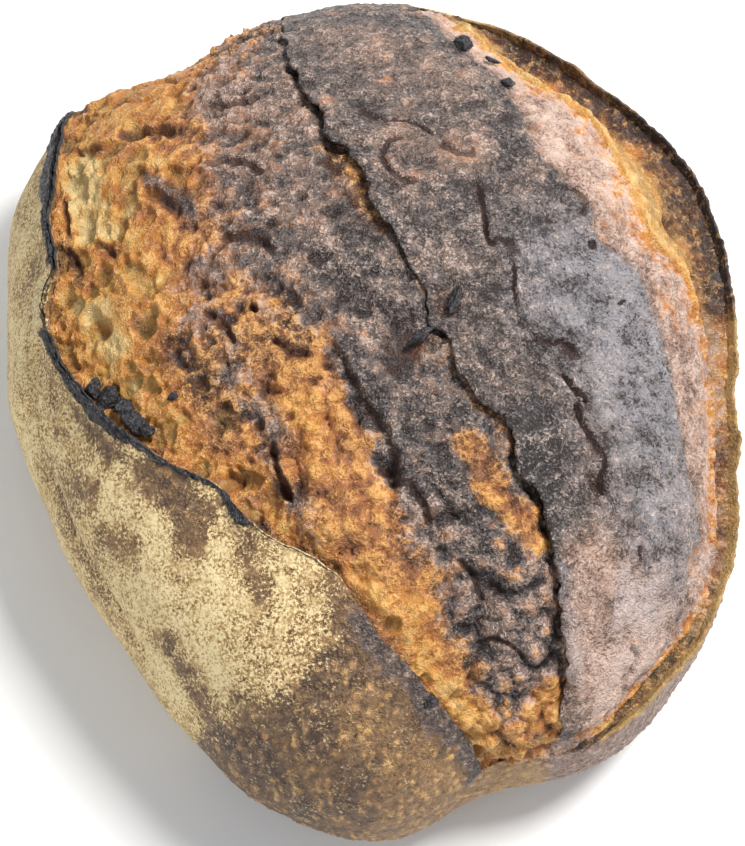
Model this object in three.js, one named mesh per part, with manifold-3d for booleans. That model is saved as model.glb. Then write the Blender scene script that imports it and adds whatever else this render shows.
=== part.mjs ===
// Sourdough loaf, one solid: an oblong domed loaf on a flat base, torn open along its top between
// two raised ears. Millimetres, +Z up, origin under the middle of the loaf, on the table.
import * as THREE from 'three';
import { mergeVertices } from 'three/addons/utils/BufferGeometryUtils.js';
import Module from 'manifold-3d';

// ---------------------------------------------------------------------------------------------
// Driving dimensions
// ---------------------------------------------------------------------------------------------

const CROWN_HEIGHT = 92;
const WAIST_HEIGHT = 26; // height of the widest ring
const PLAN_CENTRE = new THREE.Vector2(3.4, -6.5);
// Radius of the widest ring, every 15 degrees anticlockwise from +X.
const PLAN_RADII = [
  106, 112, 121, 127, 130, 137, 141, 137, 132, 138, 131, 118,
  111, 104, 103, 104, 112, 123, 129, 119, 124, 121, 115, 108,
];
const DOME_FULLNESS = 2.4; // 2 is an ellipse, more is squarer in plan reach
const CROWN_FULLNESS = 2.2; // the same for height
const UNDERCUT = 0.45; // how fast the side turns in under the widest ring
const BASE_REACH = 0.81; // share of the widest ring at which the flat base begins

const FACETS = 20; // subdivisions of each icosahedron edge
const WAIST_POLE_ANGLE = THREE.MathUtils.degToRad(114); // gives the top most of the facets

// Places on the crust are [s, t]: millimetres walked over the crust from the crown,
// s towards +X and t towards +Y.

// The left ear: the edge of the floured skin, from the far end to the near end.
const LEFT_EAR = [
  [-91, 96], [-91, 84], [-90, 69], [-92, 53], [-95, 44], [-96, 32], [-103, 21], [-104, 9],
  [-99, -8], [-88, -27], [-71, -41], [-50, -52], [-40, -59], [-28, -63], [-18, -64], [-10, -68],
  [-5, -74], [-1, -80], [4, -86], [9, -93], [15, -102], [21, -110], [27, -119], [31, -127],
];
// The right ear: the thin outer rim, and the torn line where its crumb meets the top crust.
const RIGHT_EAR = [
  [24, 115], [41, 108], [55, 104], [66, 96], [79, 88], [93, 80], [101, 72], [106, 65],
  [113, 55], [120, 41], [127, 27], [133, 14], [135, 2], [136, -17], [136, -38], [133, -57],
  [126, -68], [115, -76], [108, -84], [99, -91], [87, -100], [76, -108], [67, -115],
];
const CRUMB_LINE = [
  [24, 108], [33, 96], [45, 87], [58, 82], [64, 72], [69, 62], [75, 49], [83, 39],
  [93, 34], [101, 29], [107, 20], [113, 12], [118, 0], [119, -12], [118, -27], [114, -44],
  [112, -56], [112, -65], [108, -74], [98, -84], [85, -94], [71, -105], [65, -112],
];
// Tears across the top: the crust on the right of each line stands higher.
const FAR_TEAR = [
  [-24, 90], [-21, 79], [-18, 69], [-13, 61], [-12, 54], [-8, 49], [-4, 43], [-2, 37],
  [1, 30], [5, 23], [8, 17], [13, 10],
];
const MIDDLE_TEAR = [
  [-18, -3], [-14, -7], [-8, -15], [-5, -19], [-1, -25], [3, -31], [5, -38], [4, -44], [4, -54],
];
const NEAR_TEAR = [
  [16, 2], [21, -6], [23, -15], [27, -22], [34, -26], [37, -34], [37, -41], [42, -46],
  [44, -53], [46, -60], [47, -65], [48, -74], [50, -84], [52, -99], [52, -113],
];
// The edge of the dark top plate beside the right ear.
const PLATE_EDGE = [
  [12, 112], [22, 91], [33, 82], [38, 70], [42, 59], [49, 48], [58, 42], [64, 31],
  [72, 29], [81, 22], [87, 13], [93, 2], [97, -11], [97, -22], [98, -34], [99, -46],
  [100, -55], [94, -63], [92, -74], [91, -80], [84, -91], [72, -100],
];
// A crack in the floured skin, and the crease above its foot.
const SKIN_CRACK = [[-103, 18], [-109, 11], [-117, 5], [-121, -8], [-146, -12]];
const FOOT_CREASE = [[-132, -22], [-123, -41], [-113, -62], [-104, -81], [-91, -100], [-78, -115]];

// Bubbles and humps: [s, t, radius, rise].
const BUBBLES = [
  [-25, -17, 5, 1.5], [-20, -26, 5, 1.6], [-22, -34, 6, 2.0], [-18, -45, 6, 2.6],
  [-30, -44, 5, 1.8], [-4, -29, 6, 1.8], [-9, -37, 6, 1.6], [-7, -49, 9, 3.0],
  [-19, -56, 7, 2.6], [-11, -59, 7, 2.6], [-1, -55, 6, 2.0], [4, -71, 8, 2.6],
  [10, -79, 8, 2.4], [18, -98, 7, 2.0], [23, -109, 6, 1.6], [35, -64, 8, 2.6],
  [42, -70, 6, 1.6], [36, -79, 8, 2.4], [44, -88, 8, 3.0], [34, -92, 11, 2.8],
  [8, -61, 6, 1.6], [20, -64, 7, 2.0], [26, -57, 6, 1.8], [55, -66, 7, 2.4],
  [30, -39, 7, 2.6], [38, -52, 7, 2.6], [-41, 18, 7, 1.2], [-21, 8, 7, 1.6],
  [-28, -9, 6, 1.4], [-28, 49, 7, 1.4], [-46, 47, 7, 1.6], [-48, -2, 8, 1.2],
  [-41, -19, 7, 1.4], [33, -114, 9, 2.2], [44, -116, 8, 2.0], [-66, -31, 9, 1.8],
  [-50, -38, 9, 2.0], [-72, 20, 10, 1.6],
];
// Gas cells and holes torn in the crust: [s, t, radius, depth].
const PITS = [
  [-86, 7, 5, 3.0], [-71, 3, 5, 2.0], [-77, 32, 5, 2.5], [-61, 64, 9, 2.5], [-80, 45, 9, 2.5],
  [-44, -48, 5, 3.0], [19, 7, 6, 4.0], [9, -4, 7, 3.5], [61, -45, 5, 3.0], [60, -6, 4, 1.5],
  [39, -122, 4, 2.5], [49, -118, 5, 2.5], [96, 52, 7, 2.5], [108, 36, 6, 2.5],
];
// Burnt crumbs stuck to the crust: [s, t, radius].
const BURNT_CRUMBS = [
  [-90, -16, 4.2], [-80, -27, 3.4], [-76, -30, 2.6], [23, 92, 3.6], [35, 80, 2.4], [14, -101, 2.6],
];

// Each ear is a blade rooted in the crust; all sizes are across the blade.
const LEFT_BLADE = { rise: 4.2, lean: 3.0, root: 10.0, thickness: 3.2, from: 0.01, to: 0.56 };
const RIGHT_BLADE = { rise: 2.6, lean: 2.4, root: 12.0, thickness: 3.0, from: 0.03, to: 0.97 };
const BLADE_SIDES = 8;
const BLADE_STEP = 5; // distance between the sections of a blade
const TEAR_EDGE = 1.6; // half width of the step at a tear
const WELD = 0.05; // vertices closer than this are one

const CRUST = new THREE.MeshStandardMaterial({ color: 0x5f4638, roughness: 0.75, metalness: 0 });

// ---------------------------------------------------------------------------------------------
// The loaf's smooth form
// ---------------------------------------------------------------------------------------------

// Goes smoothly from 0 at start to 1 at end; start may be the larger.
function smooth(start, end, value) {
  const f = THREE.MathUtils.clamp((value - start) / (end - start), 0, 1);
  return f * f * (3 - 2 * f);
}

function planRadius(angle) {
  const count = PLAN_RADII.length;
  const turn = ((angle / (2 * Math.PI)) % 1 + 1) % 1 * count;
  const i = Math.floor(turn);
  const f = turn - i;
  const [a, b, c, d] = [-1, 0, 1, 2].map((k) => PLAN_RADII[(i + k + count) % count]);
  return 0.5 * (2 * b + (c - a) * f + (2 * a - 5 * b + 4 * c - d) * f * f
    + (3 * b - a - 3 * c + d) * f ** 3);
}

// Reach (share of the plan radius) and height, from the crown (lift 90 degrees) over the widest
// ring (0) to the middle of the base (-90).
function profile(lift) {
  const side = Math.abs(Math.cos(lift));
  const up = Math.sin(lift);
  if (up >= 0) {
    const height = WAIST_HEIGHT + (CROWN_HEIGHT - WAIST_HEIGHT) * up ** (2 / CROWN_FULLNESS);
    return { reach: side ** (2 / DOME_FULLNESS), height };
  }
  return { reach: side ** UNDERCUT, height: WAIST_HEIGHT * Math.max(0, 1 - 1.25 * (-up) ** 0.9) };
}

// Length walked down the mean profile, from the crown to the middle of the base.
const MEAN_RADIUS = 118;
const WALK_STEPS = 720;
const walk = [0];
for (let i = 1; i <= WALK_STEPS; i += 1) {
  const a = profile(Math.PI * (0.5 - (i - 1) / WALK_STEPS));
  const b = profile(Math.PI * (0.5 - i / WALK_STEPS));
  walk.push(walk[i - 1] + Math.hypot((b.reach - a.reach) * MEAN_RADIUS, b.height - a.height));
}
const WALK_TO_WAIST = walk[WALK_STEPS / 2];
const WALK_TO_END = walk[WALK_STEPS];

function liftAt(length) {
  let low = 0;
  let high = WALK_STEPS;
  while (high - low > 1) {
    const middle = (low + high) >> 1;
    if (walk[middle] <= length) low = middle;
    else high = middle;
  }
  const part = Math.min(1, (length - walk[low]) / (walk[high] - walk[low]));
  return Math.PI * (0.5 - (low + part) / WALK_STEPS);
}

function crustPoint(s, t) {
  const { reach, height } = profile(liftAt(Math.hypot(s, t)));
  const angle = Math.atan2(t, s);
  const radius = reach * planRadius(angle);
  return new THREE.Vector3(
    PLAN_CENTRE.x + radius * Math.cos(angle),
    PLAN_CENTRE.y + radius * Math.sin(angle),
    height,
  );
}

function crustNormal(s, t) {
  const alongS = crustPoint(s + 1, t).sub(crustPoint(s - 1, t));
  const alongT = crustPoint(s, t + 1).sub(crustPoint(s, t - 1));
  return alongS.cross(alongT).normalize();
}

// ---------------------------------------------------------------------------------------------
// Relief: tears, folds, bubbles and pits, as a height over the smooth form
// ---------------------------------------------------------------------------------------------

// Where a place lies beside a line: how far along it (0 to 1), and how far to its right side
// as it is walked from its far end (negative on the left).
function beside(line, s, t) {
  let best = { distance: Infinity, along: 0, right: 0 };
  let walked = 0;
  for (let i = 0; i + 1 < line.length; i += 1) {
    const [as, at] = line[i];
    const ds = line[i + 1][0] - as;
    const dt = line[i + 1][1] - at;
    const length = Math.hypot(ds, dt);
    const f = THREE.MathUtils.clamp(((s - as) * ds + (t - at) * dt) / length ** 2, 0, 1);
    const distance = Math.hypot(s - as - f * ds, t - at - f * dt);
    if (distance < best.distance - 1e-9) {
      const side = (ds * (t - at) - dt * (s - as)) < 0 ? -1 : 1;
      best = { distance, along: walked + f * length, right: side * distance };
    }
    walked += length;
  }
  best.along /= walked;
  return best;
}

// Fades a feature in over its first part and out over its last.
const fade = (along, first, last) => smooth(0, first, along) * smooth(0, last, 1 - along);

// The crumb drops away from the skin along the left ear, and the skin lifts to it.
function leftEarRelief(s, t) {
  const { along, right } = beside(LEFT_EAR, s, t);
  const depth = (6.5 - 3.5 * smooth(0.45, 0.65, along)) * fade(along, 0.04, 0.03);
  if (right <= 0) return 0.35 * depth * smooth(14, 0, -right);
  const hollow = 1.5 * smooth(60, 15, right) * fade(along, 0.1, 0.5);
  return -depth * smooth(18, 0, right) - hollow;
}

// The crumb falls from the top crust to a crease under the right ear.
function rightEarRelief(s, t) {
  const rim = beside(RIGHT_EAR, s, t);
  const line = beside(CRUMB_LINE, s, t);
  const ends = fade(rim.along, 0.08, 0.08);
  if (rim.right < 0 && line.right > 0) {
    const across = line.distance / (line.distance + rim.distance + 1e-6);
    return -8 * ends * Math.sin(Math.PI * across ** 1.5) ** 0.8;
  }
  if (line.right <= 0) return -1.2 * ends * smooth(8, 0, line.distance);
  return -1.5 * smooth(16, 4, rim.distance);
}

// A tear stands high on its right and falls sharply to its left.
function tearRelief(line, step, reach, s, t) {
  const { along, right, distance } = beside(line, s, t);
  const side = Math.tanh(right / TEAR_EDGE);
  const spread = right > 0 ? reach : 0.6 * reach;
  return 0.5 * step * fade(along, 0.15, 0.2) * side * Math.exp(-distance / spread);
}

function lumps(list, sign, s, t) {
  let sum = 0;
  for (const [cs, ct, radius, size] of list) {
    const q = Math.hypot(s - cs, t - ct) / radius;
    if (q < 1.6) sum += sign * size * Math.exp(-1.6 * q * q);
  }
  return sum;
}

function creaseRelief(line, depth, width, s, t) {
  const { along, distance } = beside(line, s, t);
  return -depth * fade(along, 0.15, 0.15) * Math.exp(-((distance / width) ** 2));
}

// Slow unevenness, livelier on the torn top than on the skin.
function unevenness(s, t) {
  const onTop = beside(LEFT_EAR, s, t).right > 0 && beside(RIGHT_EAR, s, t).right < 0;
  const slow = Math.sin(s / 13 + 1.7 * Math.sin(t / 17)) * Math.cos(t / 12 + Math.sin(s / 21));
  const quick = Math.sin(s / 5.3 + 1.9 * Math.sin(t / 7.1)) * Math.cos(t / 4.7 + Math.sin(s / 6.3));
  return onTop ? 0.8 * slow + 0.5 * quick : 0.6 * slow;
}

function relief(s, t) {
  const side = smooth(BASE_WALK, BASE_WALK - 30, Math.hypot(s, t));
  if (side === 0) return 0;
  const sum = leftEarRelief(s, t)
    + rightEarRelief(s, t)
    + tearRelief(FAR_TEAR, 4.5, 22, s, t)
    + tearRelief(MIDDLE_TEAR, 4, 14, s, t)
    + tearRelief(NEAR_TEAR, 5.5, 16, s, t)
    + tearRelief(PLATE_EDGE.slice().reverse(), 1.2, 10, s, t)
    + creaseRelief(SKIN_CRACK, 2.5, 3.5, s, t)
    + creaseRelief(FOOT_CREASE, 2.0, 4.5, s, t)
    + lumps(BUBBLES, 1, s, t)
    + lumps(PITS, -1, s, t)
    + unevenness(s, t);
  return side * sum;
}

// Length walked to the edge of the flat base.
const BASE_WALK = walk.find((length, i) => i > WALK_STEPS / 2
  && profile(Math.PI * (0.5 - i / WALK_STEPS)).reach < BASE_REACH);

function reliefPoint(s, t) {
  const point = crustPoint(s, t);
  const height = relief(s, t);
  if (height !== 0) point.addScaledVector(crustNormal(s, t), height);
  point.z = Math.max(0, point.z);
  return point;
}

// ---------------------------------------------------------------------------------------------
// Solids
// ---------------------------------------------------------------------------------------------

const wasm = await Module();
wasm.setup();

// Moves every vertex of a closed geometry and makes it a solid.
function bentSolid(geometry, place) {
  const bare = geometry.clone();
  bare.deleteAttribute('normal');
  bare.deleteAttribute('uv');
  const merged = mergeVertices(bare, 1e-4);
  const { position } = merged.attributes;
  const vertex = new THREE.Vector3();
  for (let i = 0; i < position.count; i += 1) {
    place(vertex.fromBufferAttribute(position, i));
    position.setXYZ(i, vertex.x, vertex.y, vertex.z);
  }
  return new wasm.Manifold(new wasm.Mesh({
    numProp: 3,
    vertProperties: new Float32Array(position.array),
    triVerts: new Uint32Array(merged.index.array),
  }));
}

function bodySolid() {
  return bentSolid(new THREE.IcosahedronGeometry(1, FACETS), (vertex) => {
    const pole = Math.acos(THREE.MathUtils.clamp(vertex.z / vertex.length(), -1, 1));
    const length = pole < WAIST_POLE_ANGLE
      ? WALK_TO_WAIST * (pole / WAIST_POLE_ANGLE)
      : THREE.MathUtils.mapLinear(pole, WAIST_POLE_ANGLE, Math.PI, WALK_TO_WAIST, WALK_TO_END);
    const angle = Math.atan2(vertex.y, vertex.x);
    vertex.copy(reliefPoint(length * Math.cos(angle), length * Math.sin(angle)));
  });
}

// A blade along an ear, from a cylinder laid along the line: its round is flattened to the
// blade's section, rooted in the crust and leaning over the torn side.
function bladeSolid(line, blade, tornSide) {
  const path = new THREE.CatmullRomCurve3(line.map(([s, t]) => new THREE.Vector3(s, t, 0)));
  const steps = Math.round(path.getLength() * (blade.to - blade.from) / BLADE_STEP);
  const length = 1;
  const rod = new THREE.CylinderGeometry(1, 1, length, BLADE_SIDES, steps);
  return bentSolid(rod, (vertex) => {
    const f = vertex.y / length + 0.5;
    const along = THREE.MathUtils.lerp(blade.from, blade.to, f);
    const { x: s, y: t } = path.getPointAt(along);
    const forward = path.getTangentAt(along);
    const end = Math.sqrt(Math.max(0.04, fade(f, 0.12, 0.12)));
    const wave = 1 + 0.28 * Math.sin(along * 61) * Math.sin(along * 23 + 1);
    const up = vertex.x * 0.5 + 0.5;
    const across = crustPoint(s + tornSide * forward.y, t - tornSide * forward.x)
      .sub(crustPoint(s, t)).normalize();
    const normal = crustNormal(s, t);
    const height = THREE.MathUtils.lerp(-blade.root, blade.rise * wave * end, up);
    const sideways = blade.lean * end * wave * up * up - 0.5 * blade.thickness;
    const thickness = -0.5 * tornSide * blade.thickness * (1 - 0.45 * up) * vertex.z;
    const base = crustPoint(s, t);
    vertex.copy(base).addScaledVector(normal, height).addScaledVector(across, sideways + thickness);
  });
}

function burntCrumbSolid([s, t, radius], index) {
  const middle = reliefPoint(s, t).addScaledVector(crustNormal(s, t), 0.25 * radius);
  return bentSolid(new THREE.IcosahedronGeometry(radius, 1), (vertex) => {
    const { x, y, z } = vertex;
    const lumpy = 1 + 0.2 * Math.sin(x * 1.9 + index) * Math.cos(y * 1.6 + z - index);
    vertex.multiplyScalar(lumpy).add(middle);
  });
}

function loafSolid() {
  let solid = bodySolid()
    .add(bladeSolid(LEFT_EAR, LEFT_BLADE, 1))
    .add(bladeSolid(RIGHT_EAR, RIGHT_BLADE, -1));
  BURNT_CRUMBS.forEach((crumb, index) => {
    solid = solid.add(burntCrumbSolid(crumb, index));
  });
  return solid;
}

// Joins vertices that lie closer than the weld, and drops the triangles that this closes up.
function welded(geometry) {
  const merged = mergeVertices(geometry, WELD);
  const { array } = merged.index;
  const kept = [];
  for (let i = 0; i < array.length; i += 3) {
    const [a, b, c] = array.slice(i, i + 3);
    if (a !== b && b !== c && c !== a) kept.push(a, b, c);
  }
  merged.setIndex(kept);
  return merged;
}

function meshOf(name, solid, material) {
  const { vertProperties, triVerts } = solid.getMesh();
  const cut = new THREE.BufferGeometry();
  cut.setAttribute('position', new THREE.BufferAttribute(new Float32Array(vertProperties), 3));
  cut.setIndex(new THREE.BufferAttribute(new Uint32Array(triVerts), 1));
  const geometry = welded(cut);
  geometry.computeVertexNormals();
  const mesh = new THREE.Mesh(geometry, material);
  mesh.name = name;
  return mesh;
}

const loaf = new THREE.Group();
loaf.name = 'sourdough_loaf';
loaf.add(meshOf('loaf', loafSolid(), CRUST));

export default loaf;
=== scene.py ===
import math

import bpy
import numpy as np
from bpy.props import FloatProperty, FloatVectorProperty, PointerProperty
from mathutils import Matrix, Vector


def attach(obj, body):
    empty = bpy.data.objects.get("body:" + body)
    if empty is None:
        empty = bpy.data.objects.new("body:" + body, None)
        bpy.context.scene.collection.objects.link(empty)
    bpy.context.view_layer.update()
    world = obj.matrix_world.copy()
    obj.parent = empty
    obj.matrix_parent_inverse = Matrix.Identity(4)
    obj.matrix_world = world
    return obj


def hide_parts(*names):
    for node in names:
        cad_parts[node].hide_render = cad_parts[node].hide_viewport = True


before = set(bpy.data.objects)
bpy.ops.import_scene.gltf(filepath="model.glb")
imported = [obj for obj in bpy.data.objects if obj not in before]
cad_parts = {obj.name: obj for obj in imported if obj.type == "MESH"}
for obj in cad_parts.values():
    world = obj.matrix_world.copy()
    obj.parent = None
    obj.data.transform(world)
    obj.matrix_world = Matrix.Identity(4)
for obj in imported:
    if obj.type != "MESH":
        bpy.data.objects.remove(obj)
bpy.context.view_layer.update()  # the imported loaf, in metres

bl_info = {
    "name": "Sourdough loaf",
    "version": (1, 0, 0),
    "blender": (4, 5, 0),
    "location": "3D View > Sidebar > Loaf",
    "description": "Dresses a torn, hard-baked sourdough loaf piece by piece",
    "category": "Object",
}

NODE = "loaf"
MM = 0.001

# ---------------------------------------------------------------------------------------------
# Driving dimensions of the loaf, in millimetres, as in the part's source
# ---------------------------------------------------------------------------------------------

CROWN_HEIGHT = 92.0
WAIST_HEIGHT = 26.0  # height of the widest ring
PLAN_CENTRE = (3.4, -6.5)
# Radius of the widest ring, every 15 degrees anticlockwise from +X.
PLAN_RADII = np.array([
    106, 112, 121, 127, 130, 137, 141, 137, 132, 138, 131, 118,
    111, 104, 103, 104, 112, 123, 129, 119, 124, 121, 115, 108.0,
])
DOME_FULLNESS = 2.4
CROWN_FULLNESS = 2.2
UNDERCUT = 0.45
BASE_REACH = 0.81
MEAN_RADIUS = 118.0
WALK_STEPS = 720

# Seeds of everything that is drawn at random, by what it shapes.
SEEDS = {
    "tear": 11, "fold": 12, "plate side": 13, "seam": 14, "tear nibble": 15, "patches": 17,
    "crumb": 21, "crumb cells": 22, "plate": 31, "plate cells": 32, "cracks": 40,
    "skin": 51, "skin cells": 52, "plate edge": 61, "left rim": 71, "rims": 72,
    "burnt edge": 73, "purple edge": 74, "lip": 81, "burnt crumbs": 90,
}

# Places on the crust are (s, t): millimetres walked over the crust from the crown,
# s towards +X and t towards +Y. Lines run from the far end of the loaf to the near end.
LEFT_EAR = [
    (-91, 96), (-91, 84), (-90, 69), (-92, 53), (-95, 44), (-96, 32), (-103, 21), (-104, 9),
    (-99, -8), (-88, -27), (-71, -41), (-50, -52), (-40, -59), (-28, -63), (-18, -64), (-10, -68),
    (-5, -74), (-1, -80), (4, -86), (9, -93), (15, -102), (21, -110), (27, -119), (31, -127),
]
RIGHT_EAR = [
    (24, 115), (41, 108), (55, 104), (66, 96), (79, 88), (93, 80), (101, 72), (106, 65),
    (113, 55), (120, 41), (127, 27), (133, 14), (135, 2), (136, -17), (136, -38), (133, -57),
    (126, -68), (115, -76), (108, -84), (99, -91), (87, -100), (76, -108), (67, -115),
]
CRUMB_LINE = [
    (24, 108), (33, 96), (45, 87), (58, 82), (64, 72), (69, 62), (75, 49), (83, 39),
    (93, 34), (101, 29), (107, 20), (113, 12), (118, 0), (119, -12), (118, -27), (114, -44),
    (112, -56), (112, -65), (108, -74), (98, -84), (85, -94), (71, -105), (65, -112),
]
# The long tear: the top plate stands over the crumb on its right.
LONG_TEAR = [
    (-30, 131), (-27, 110), (-24, 90), (-21, 79), (-18, 69), (-13, 61), (-12, 54), (-8, 49),
    (-4, 43), (-2, 37), (1, 30), (5, 23), (8, 17), (13, 10), (16, 2), (21, -6), (23, -15),
    (27, -22), (34, -26), (37, -34), (37, -41), (42, -46), (44, -53), (46, -60), (47, -65),
    (48, -74), (50, -84), (52, -99), (53, -124),
]
MIDDLE_TEAR = [
    (-18, -3), (-14, -7), (-8, -15), (-5, -19), (-1, -25), (3, -31), (5, -38), (4, -44), (4, -54),
]
PLATE_EDGE = [
    (12, 112), (22, 91), (33, 82), (38, 70), (42, 59), (49, 48), (58, 42), (64, 31),
    (72, 29), (81, 22), (87, 13), (93, 2), (97, -11), (97, -22), (98, -34), (99, -46),
    (100, -55), (94, -63), (92, -74), (91, -80), (84, -91), (72, -100),
]
SKIN_CRACK = [(-103, 18), (-109, 11), (-117, 5), (-121, -8), (-146, -12)]
FOOT_CREASE = [(-132, -22), (-123, -41), (-113, -62), (-104, -81), (-91, -100), (-78, -115)]

# Bubbles and humps: (s, t, radius, rise).
BUBBLES = [
    (-25, -17, 5, 1.5), (-20, -26, 5, 1.6), (-22, -34, 6, 2.0), (-18, -45, 6, 2.6),
    (-30, -44, 5, 1.8), (-4, -29, 6, 1.8), (-9, -37, 6, 1.6), (-7, -49, 9, 3.0),
    (-19, -56, 7, 2.6), (-11, -59, 7, 2.6), (-1, -55, 6, 2.0), (4, -71, 8, 2.6),
    (10, -79, 8, 2.4), (18, -98, 7, 2.0), (23, -109, 6, 1.6), (35, -64, 8, 2.6),
    (42, -70, 6, 1.6), (36, -79, 8, 2.4), (44, -88, 8, 3.0), (34, -92, 11, 2.8),
    (8, -61, 6, 1.6), (20, -64, 7, 2.0), (26, -57, 6, 1.8), (55, -66, 7, 2.4),
    (30, -39, 7, 2.6), (38, -52, 7, 2.6), (-41, 18, 7, 1.2), (-21, 8, 7, 1.6),
    (-28, -9, 6, 1.4), (-28, 49, 7, 1.4), (-46, 47, 7, 1.6), (-48, -2, 8, 1.2),
    (-41, -19, 7, 1.4), (33, -114, 9, 2.2), (44, -116, 8, 2.0), (-66, -31, 9, 1.8),
    (-50, -38, 9, 2.0), (-72, 20, 10, 1.6),
]
# Gas cells and holes torn in the crust: (s, t, radius, depth).
PITS = [
    (-86, 7, 5, 3.0), (-71, 3, 5, 2.0), (-77, 32, 5, 2.5), (-61, 64, 9, 2.5), (-80, 45, 9, 2.5),
    (-44, -48, 5, 3.0), (19, 7, 6, 4.0), (9, -4, 7, 3.5), (61, -45, 5, 3.0), (60, -6, 4, 1.5),
    (39, -122, 4, 2.5), (49, -118, 5, 2.5), (96, 52, 7, 2.5), (108, 36, 6, 2.5),
]

# ---------------------------------------------------------------------------------------------
# Dressing of the loaf that the solid leaves out
# ---------------------------------------------------------------------------------------------

# Crisp gas cells torn open in the crumb: (s, t, radius, depth, how khaki).
GAS_CELLS = [
    (-86, 7, 3.9, 2.4, 1.0), (-71, 4, 4.0, 1.5, 0.8), (-83, 43, 2.6, 1.2, 0.7), (-68, 42, 4.2, 1.0, 0.2),
    (-94, 17, 3.8, 1.0, 0.8), (-87, 20, 3.0, 1.1, 0.8), (-61, 36, 3.0, 0.8, 0.2), (-73, -10, 2.0, 1.0, 0.4),
    (-36, 6, 1.6, 1.6, 0.0), (-15, 18, 2.5, 1.2, 0.1), (-23, 7, 2.4, 1.0, 0.1), (-57, -18, 3.2, 1.4, 0.5),
    (-49, -27, 2.6, 1.2, 0.4), (-38, -33, 2.2, 1.2, 0.3), (-27, -50, 2.4, 1.4, 0.2), (3, -79, 2.6, 1.2, 0.4),
    (12, -96, 2.4, 1.2, 0.4), (-64, 56, 4.2, 1.0, 0.5), (-74, 58, 3.0, 1.2, 0.6), (-91, 30, 2.4, 1.0, 0.5),
    (-63, -3, 2.4, 0.9, 0.3), (-79, -8, 2.4, 0.9, 0.5), (-42, -50, 2.2, 1.4, 0.1), (30, -122, 2.4, 1.4, 0.3),
]

# How high the top plate stands over the crumb, by share of the long tear.
TEAR_STEP = [
    (0.0, 0.4), (0.12, 2.5), (0.25, 4.5), (0.42, 3.8), (0.48, 2.2), (0.52, 3.5), (0.7, 5.5),
    (0.85, 5.0), (0.93, 2.2), (1.0, 0.6),
]
# Right edge of the pale golden crumb.
GOLD_EDGE = [
    (-52, 110), (-50, 86), (-52, 70), (-48, 56), (-44, 45), (-50, 29), (-56, 22), (-60, 0),
    (-65, -9), (-57, -17), (-47, -25), (-39, -38), (-34, -50), (-24, -56), (-10, -62), (3, -66),
    (13, -77), (16, -87), (22, -99), (28, -111), (35, -124), (38, -136),
]
# Fine cracks in the top plate: places, half width, depth.
CRACKS = [
    ([(26, 43), (27, 37), (29, 26), (32, 26), (38, 25)], 0.6, 1.3),
    ([(50, 44), (53, 46), (57, 45), (58, 42), (56, 38)], 0.5, 1.1),
    ([(37, 20), (39, 14), (41, 8)], 0.45, 0.9),
    ([(49, -3), (54, -4), (58, -3), (63, -6)], 0.7, 1.4),
    ([(56, -11), (57, -16), (60, -20), (62, -22), (59, -23), (59, -29), (62, -34), (64, -39),
      (62, -44), (65, -49)], 0.6, 1.5),
    ([(73, -60), (74, -64)], 0.5, 1.0),
    ([(70, -86), (73, -89), (72, -93), (69, -96)], 0.8, 1.2),
    ([(-6, 62), (1, 58), (8, 58), (15, 54)], 0.4, 1.0),
    ([(15, 53), (20, 51), (26, 52)], 0.8, 1.4),
    ([(7, 53), (2, 50), (1, 45), (5, 40), (11, 40)], 0.7, 1.4),
    ([(61, 31), (62, 28)], 1.0, 1.2),
    ([(75, 14), (76, 13)], 1.1, 1.4),
]

# Creases torn in the crumb: places, half width, depth.
CREASES = [
    ([(-71, 66.5), (-60, 66), (-53, 64)], 1.3, 2.4), ([(-86, 68), (-80, 64), (-70, 63)], 1.0, 1.8),
    ([(-62, 45), (-56, 40), (-50, 34)], 1.8, 1.8), ([(-34, -37), (-30, -45), (-24, -53)], 1.2, 2.4),
    ([(-89, 51), (-90, 39)], 1.2, 1.6), ([(-92, 36), (-90, 27)], 1.8, 2.4),
    ([(-83, 34), (-79, 33), (-75, 28)], 1.1, 1.6), ([(-49, -47), (-43, -50)], 1.8, 2.6),
    ([(-47, 74), (-40, 72), (-31, 74)], 1.0, 1.6), ([(-44, 46), (-36, 48), (-29, 44)], 1.0, 1.6),
    ([(-52, 6), (-46, 2), (-44, -6)], 1.0, 1.6), ([(-40, 26), (-31, 25), (-25, 20)], 1.0, 1.5),
    ([(-33, -4), (-28, -10), (-22, -9)], 0.9, 1.4), ([(2, -42), (10, -48), (14, -58)], 1.0, 1.6),
    ([(20, -66), (25, -70), (28, -78)], 0.8, 1.1), ([(28, -88), (34, -87), (40, -91)], 0.7, 1.0),
]

# The seam in the top plate: the smoother crust, which carries a painted bluish-grey sheen, lies over the dark
# crust on its left.
PLATE_SEAM = [
    (24, 52), (26, 43), (27, 34), (30, 26), (37, 20), (41, 8), (49, -3), (56, -11), (57, -16),
    (60, -20), (59, -23), (59, -29), (64, -39), (62, -44), (65, -49), (66, -58),
]

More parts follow.
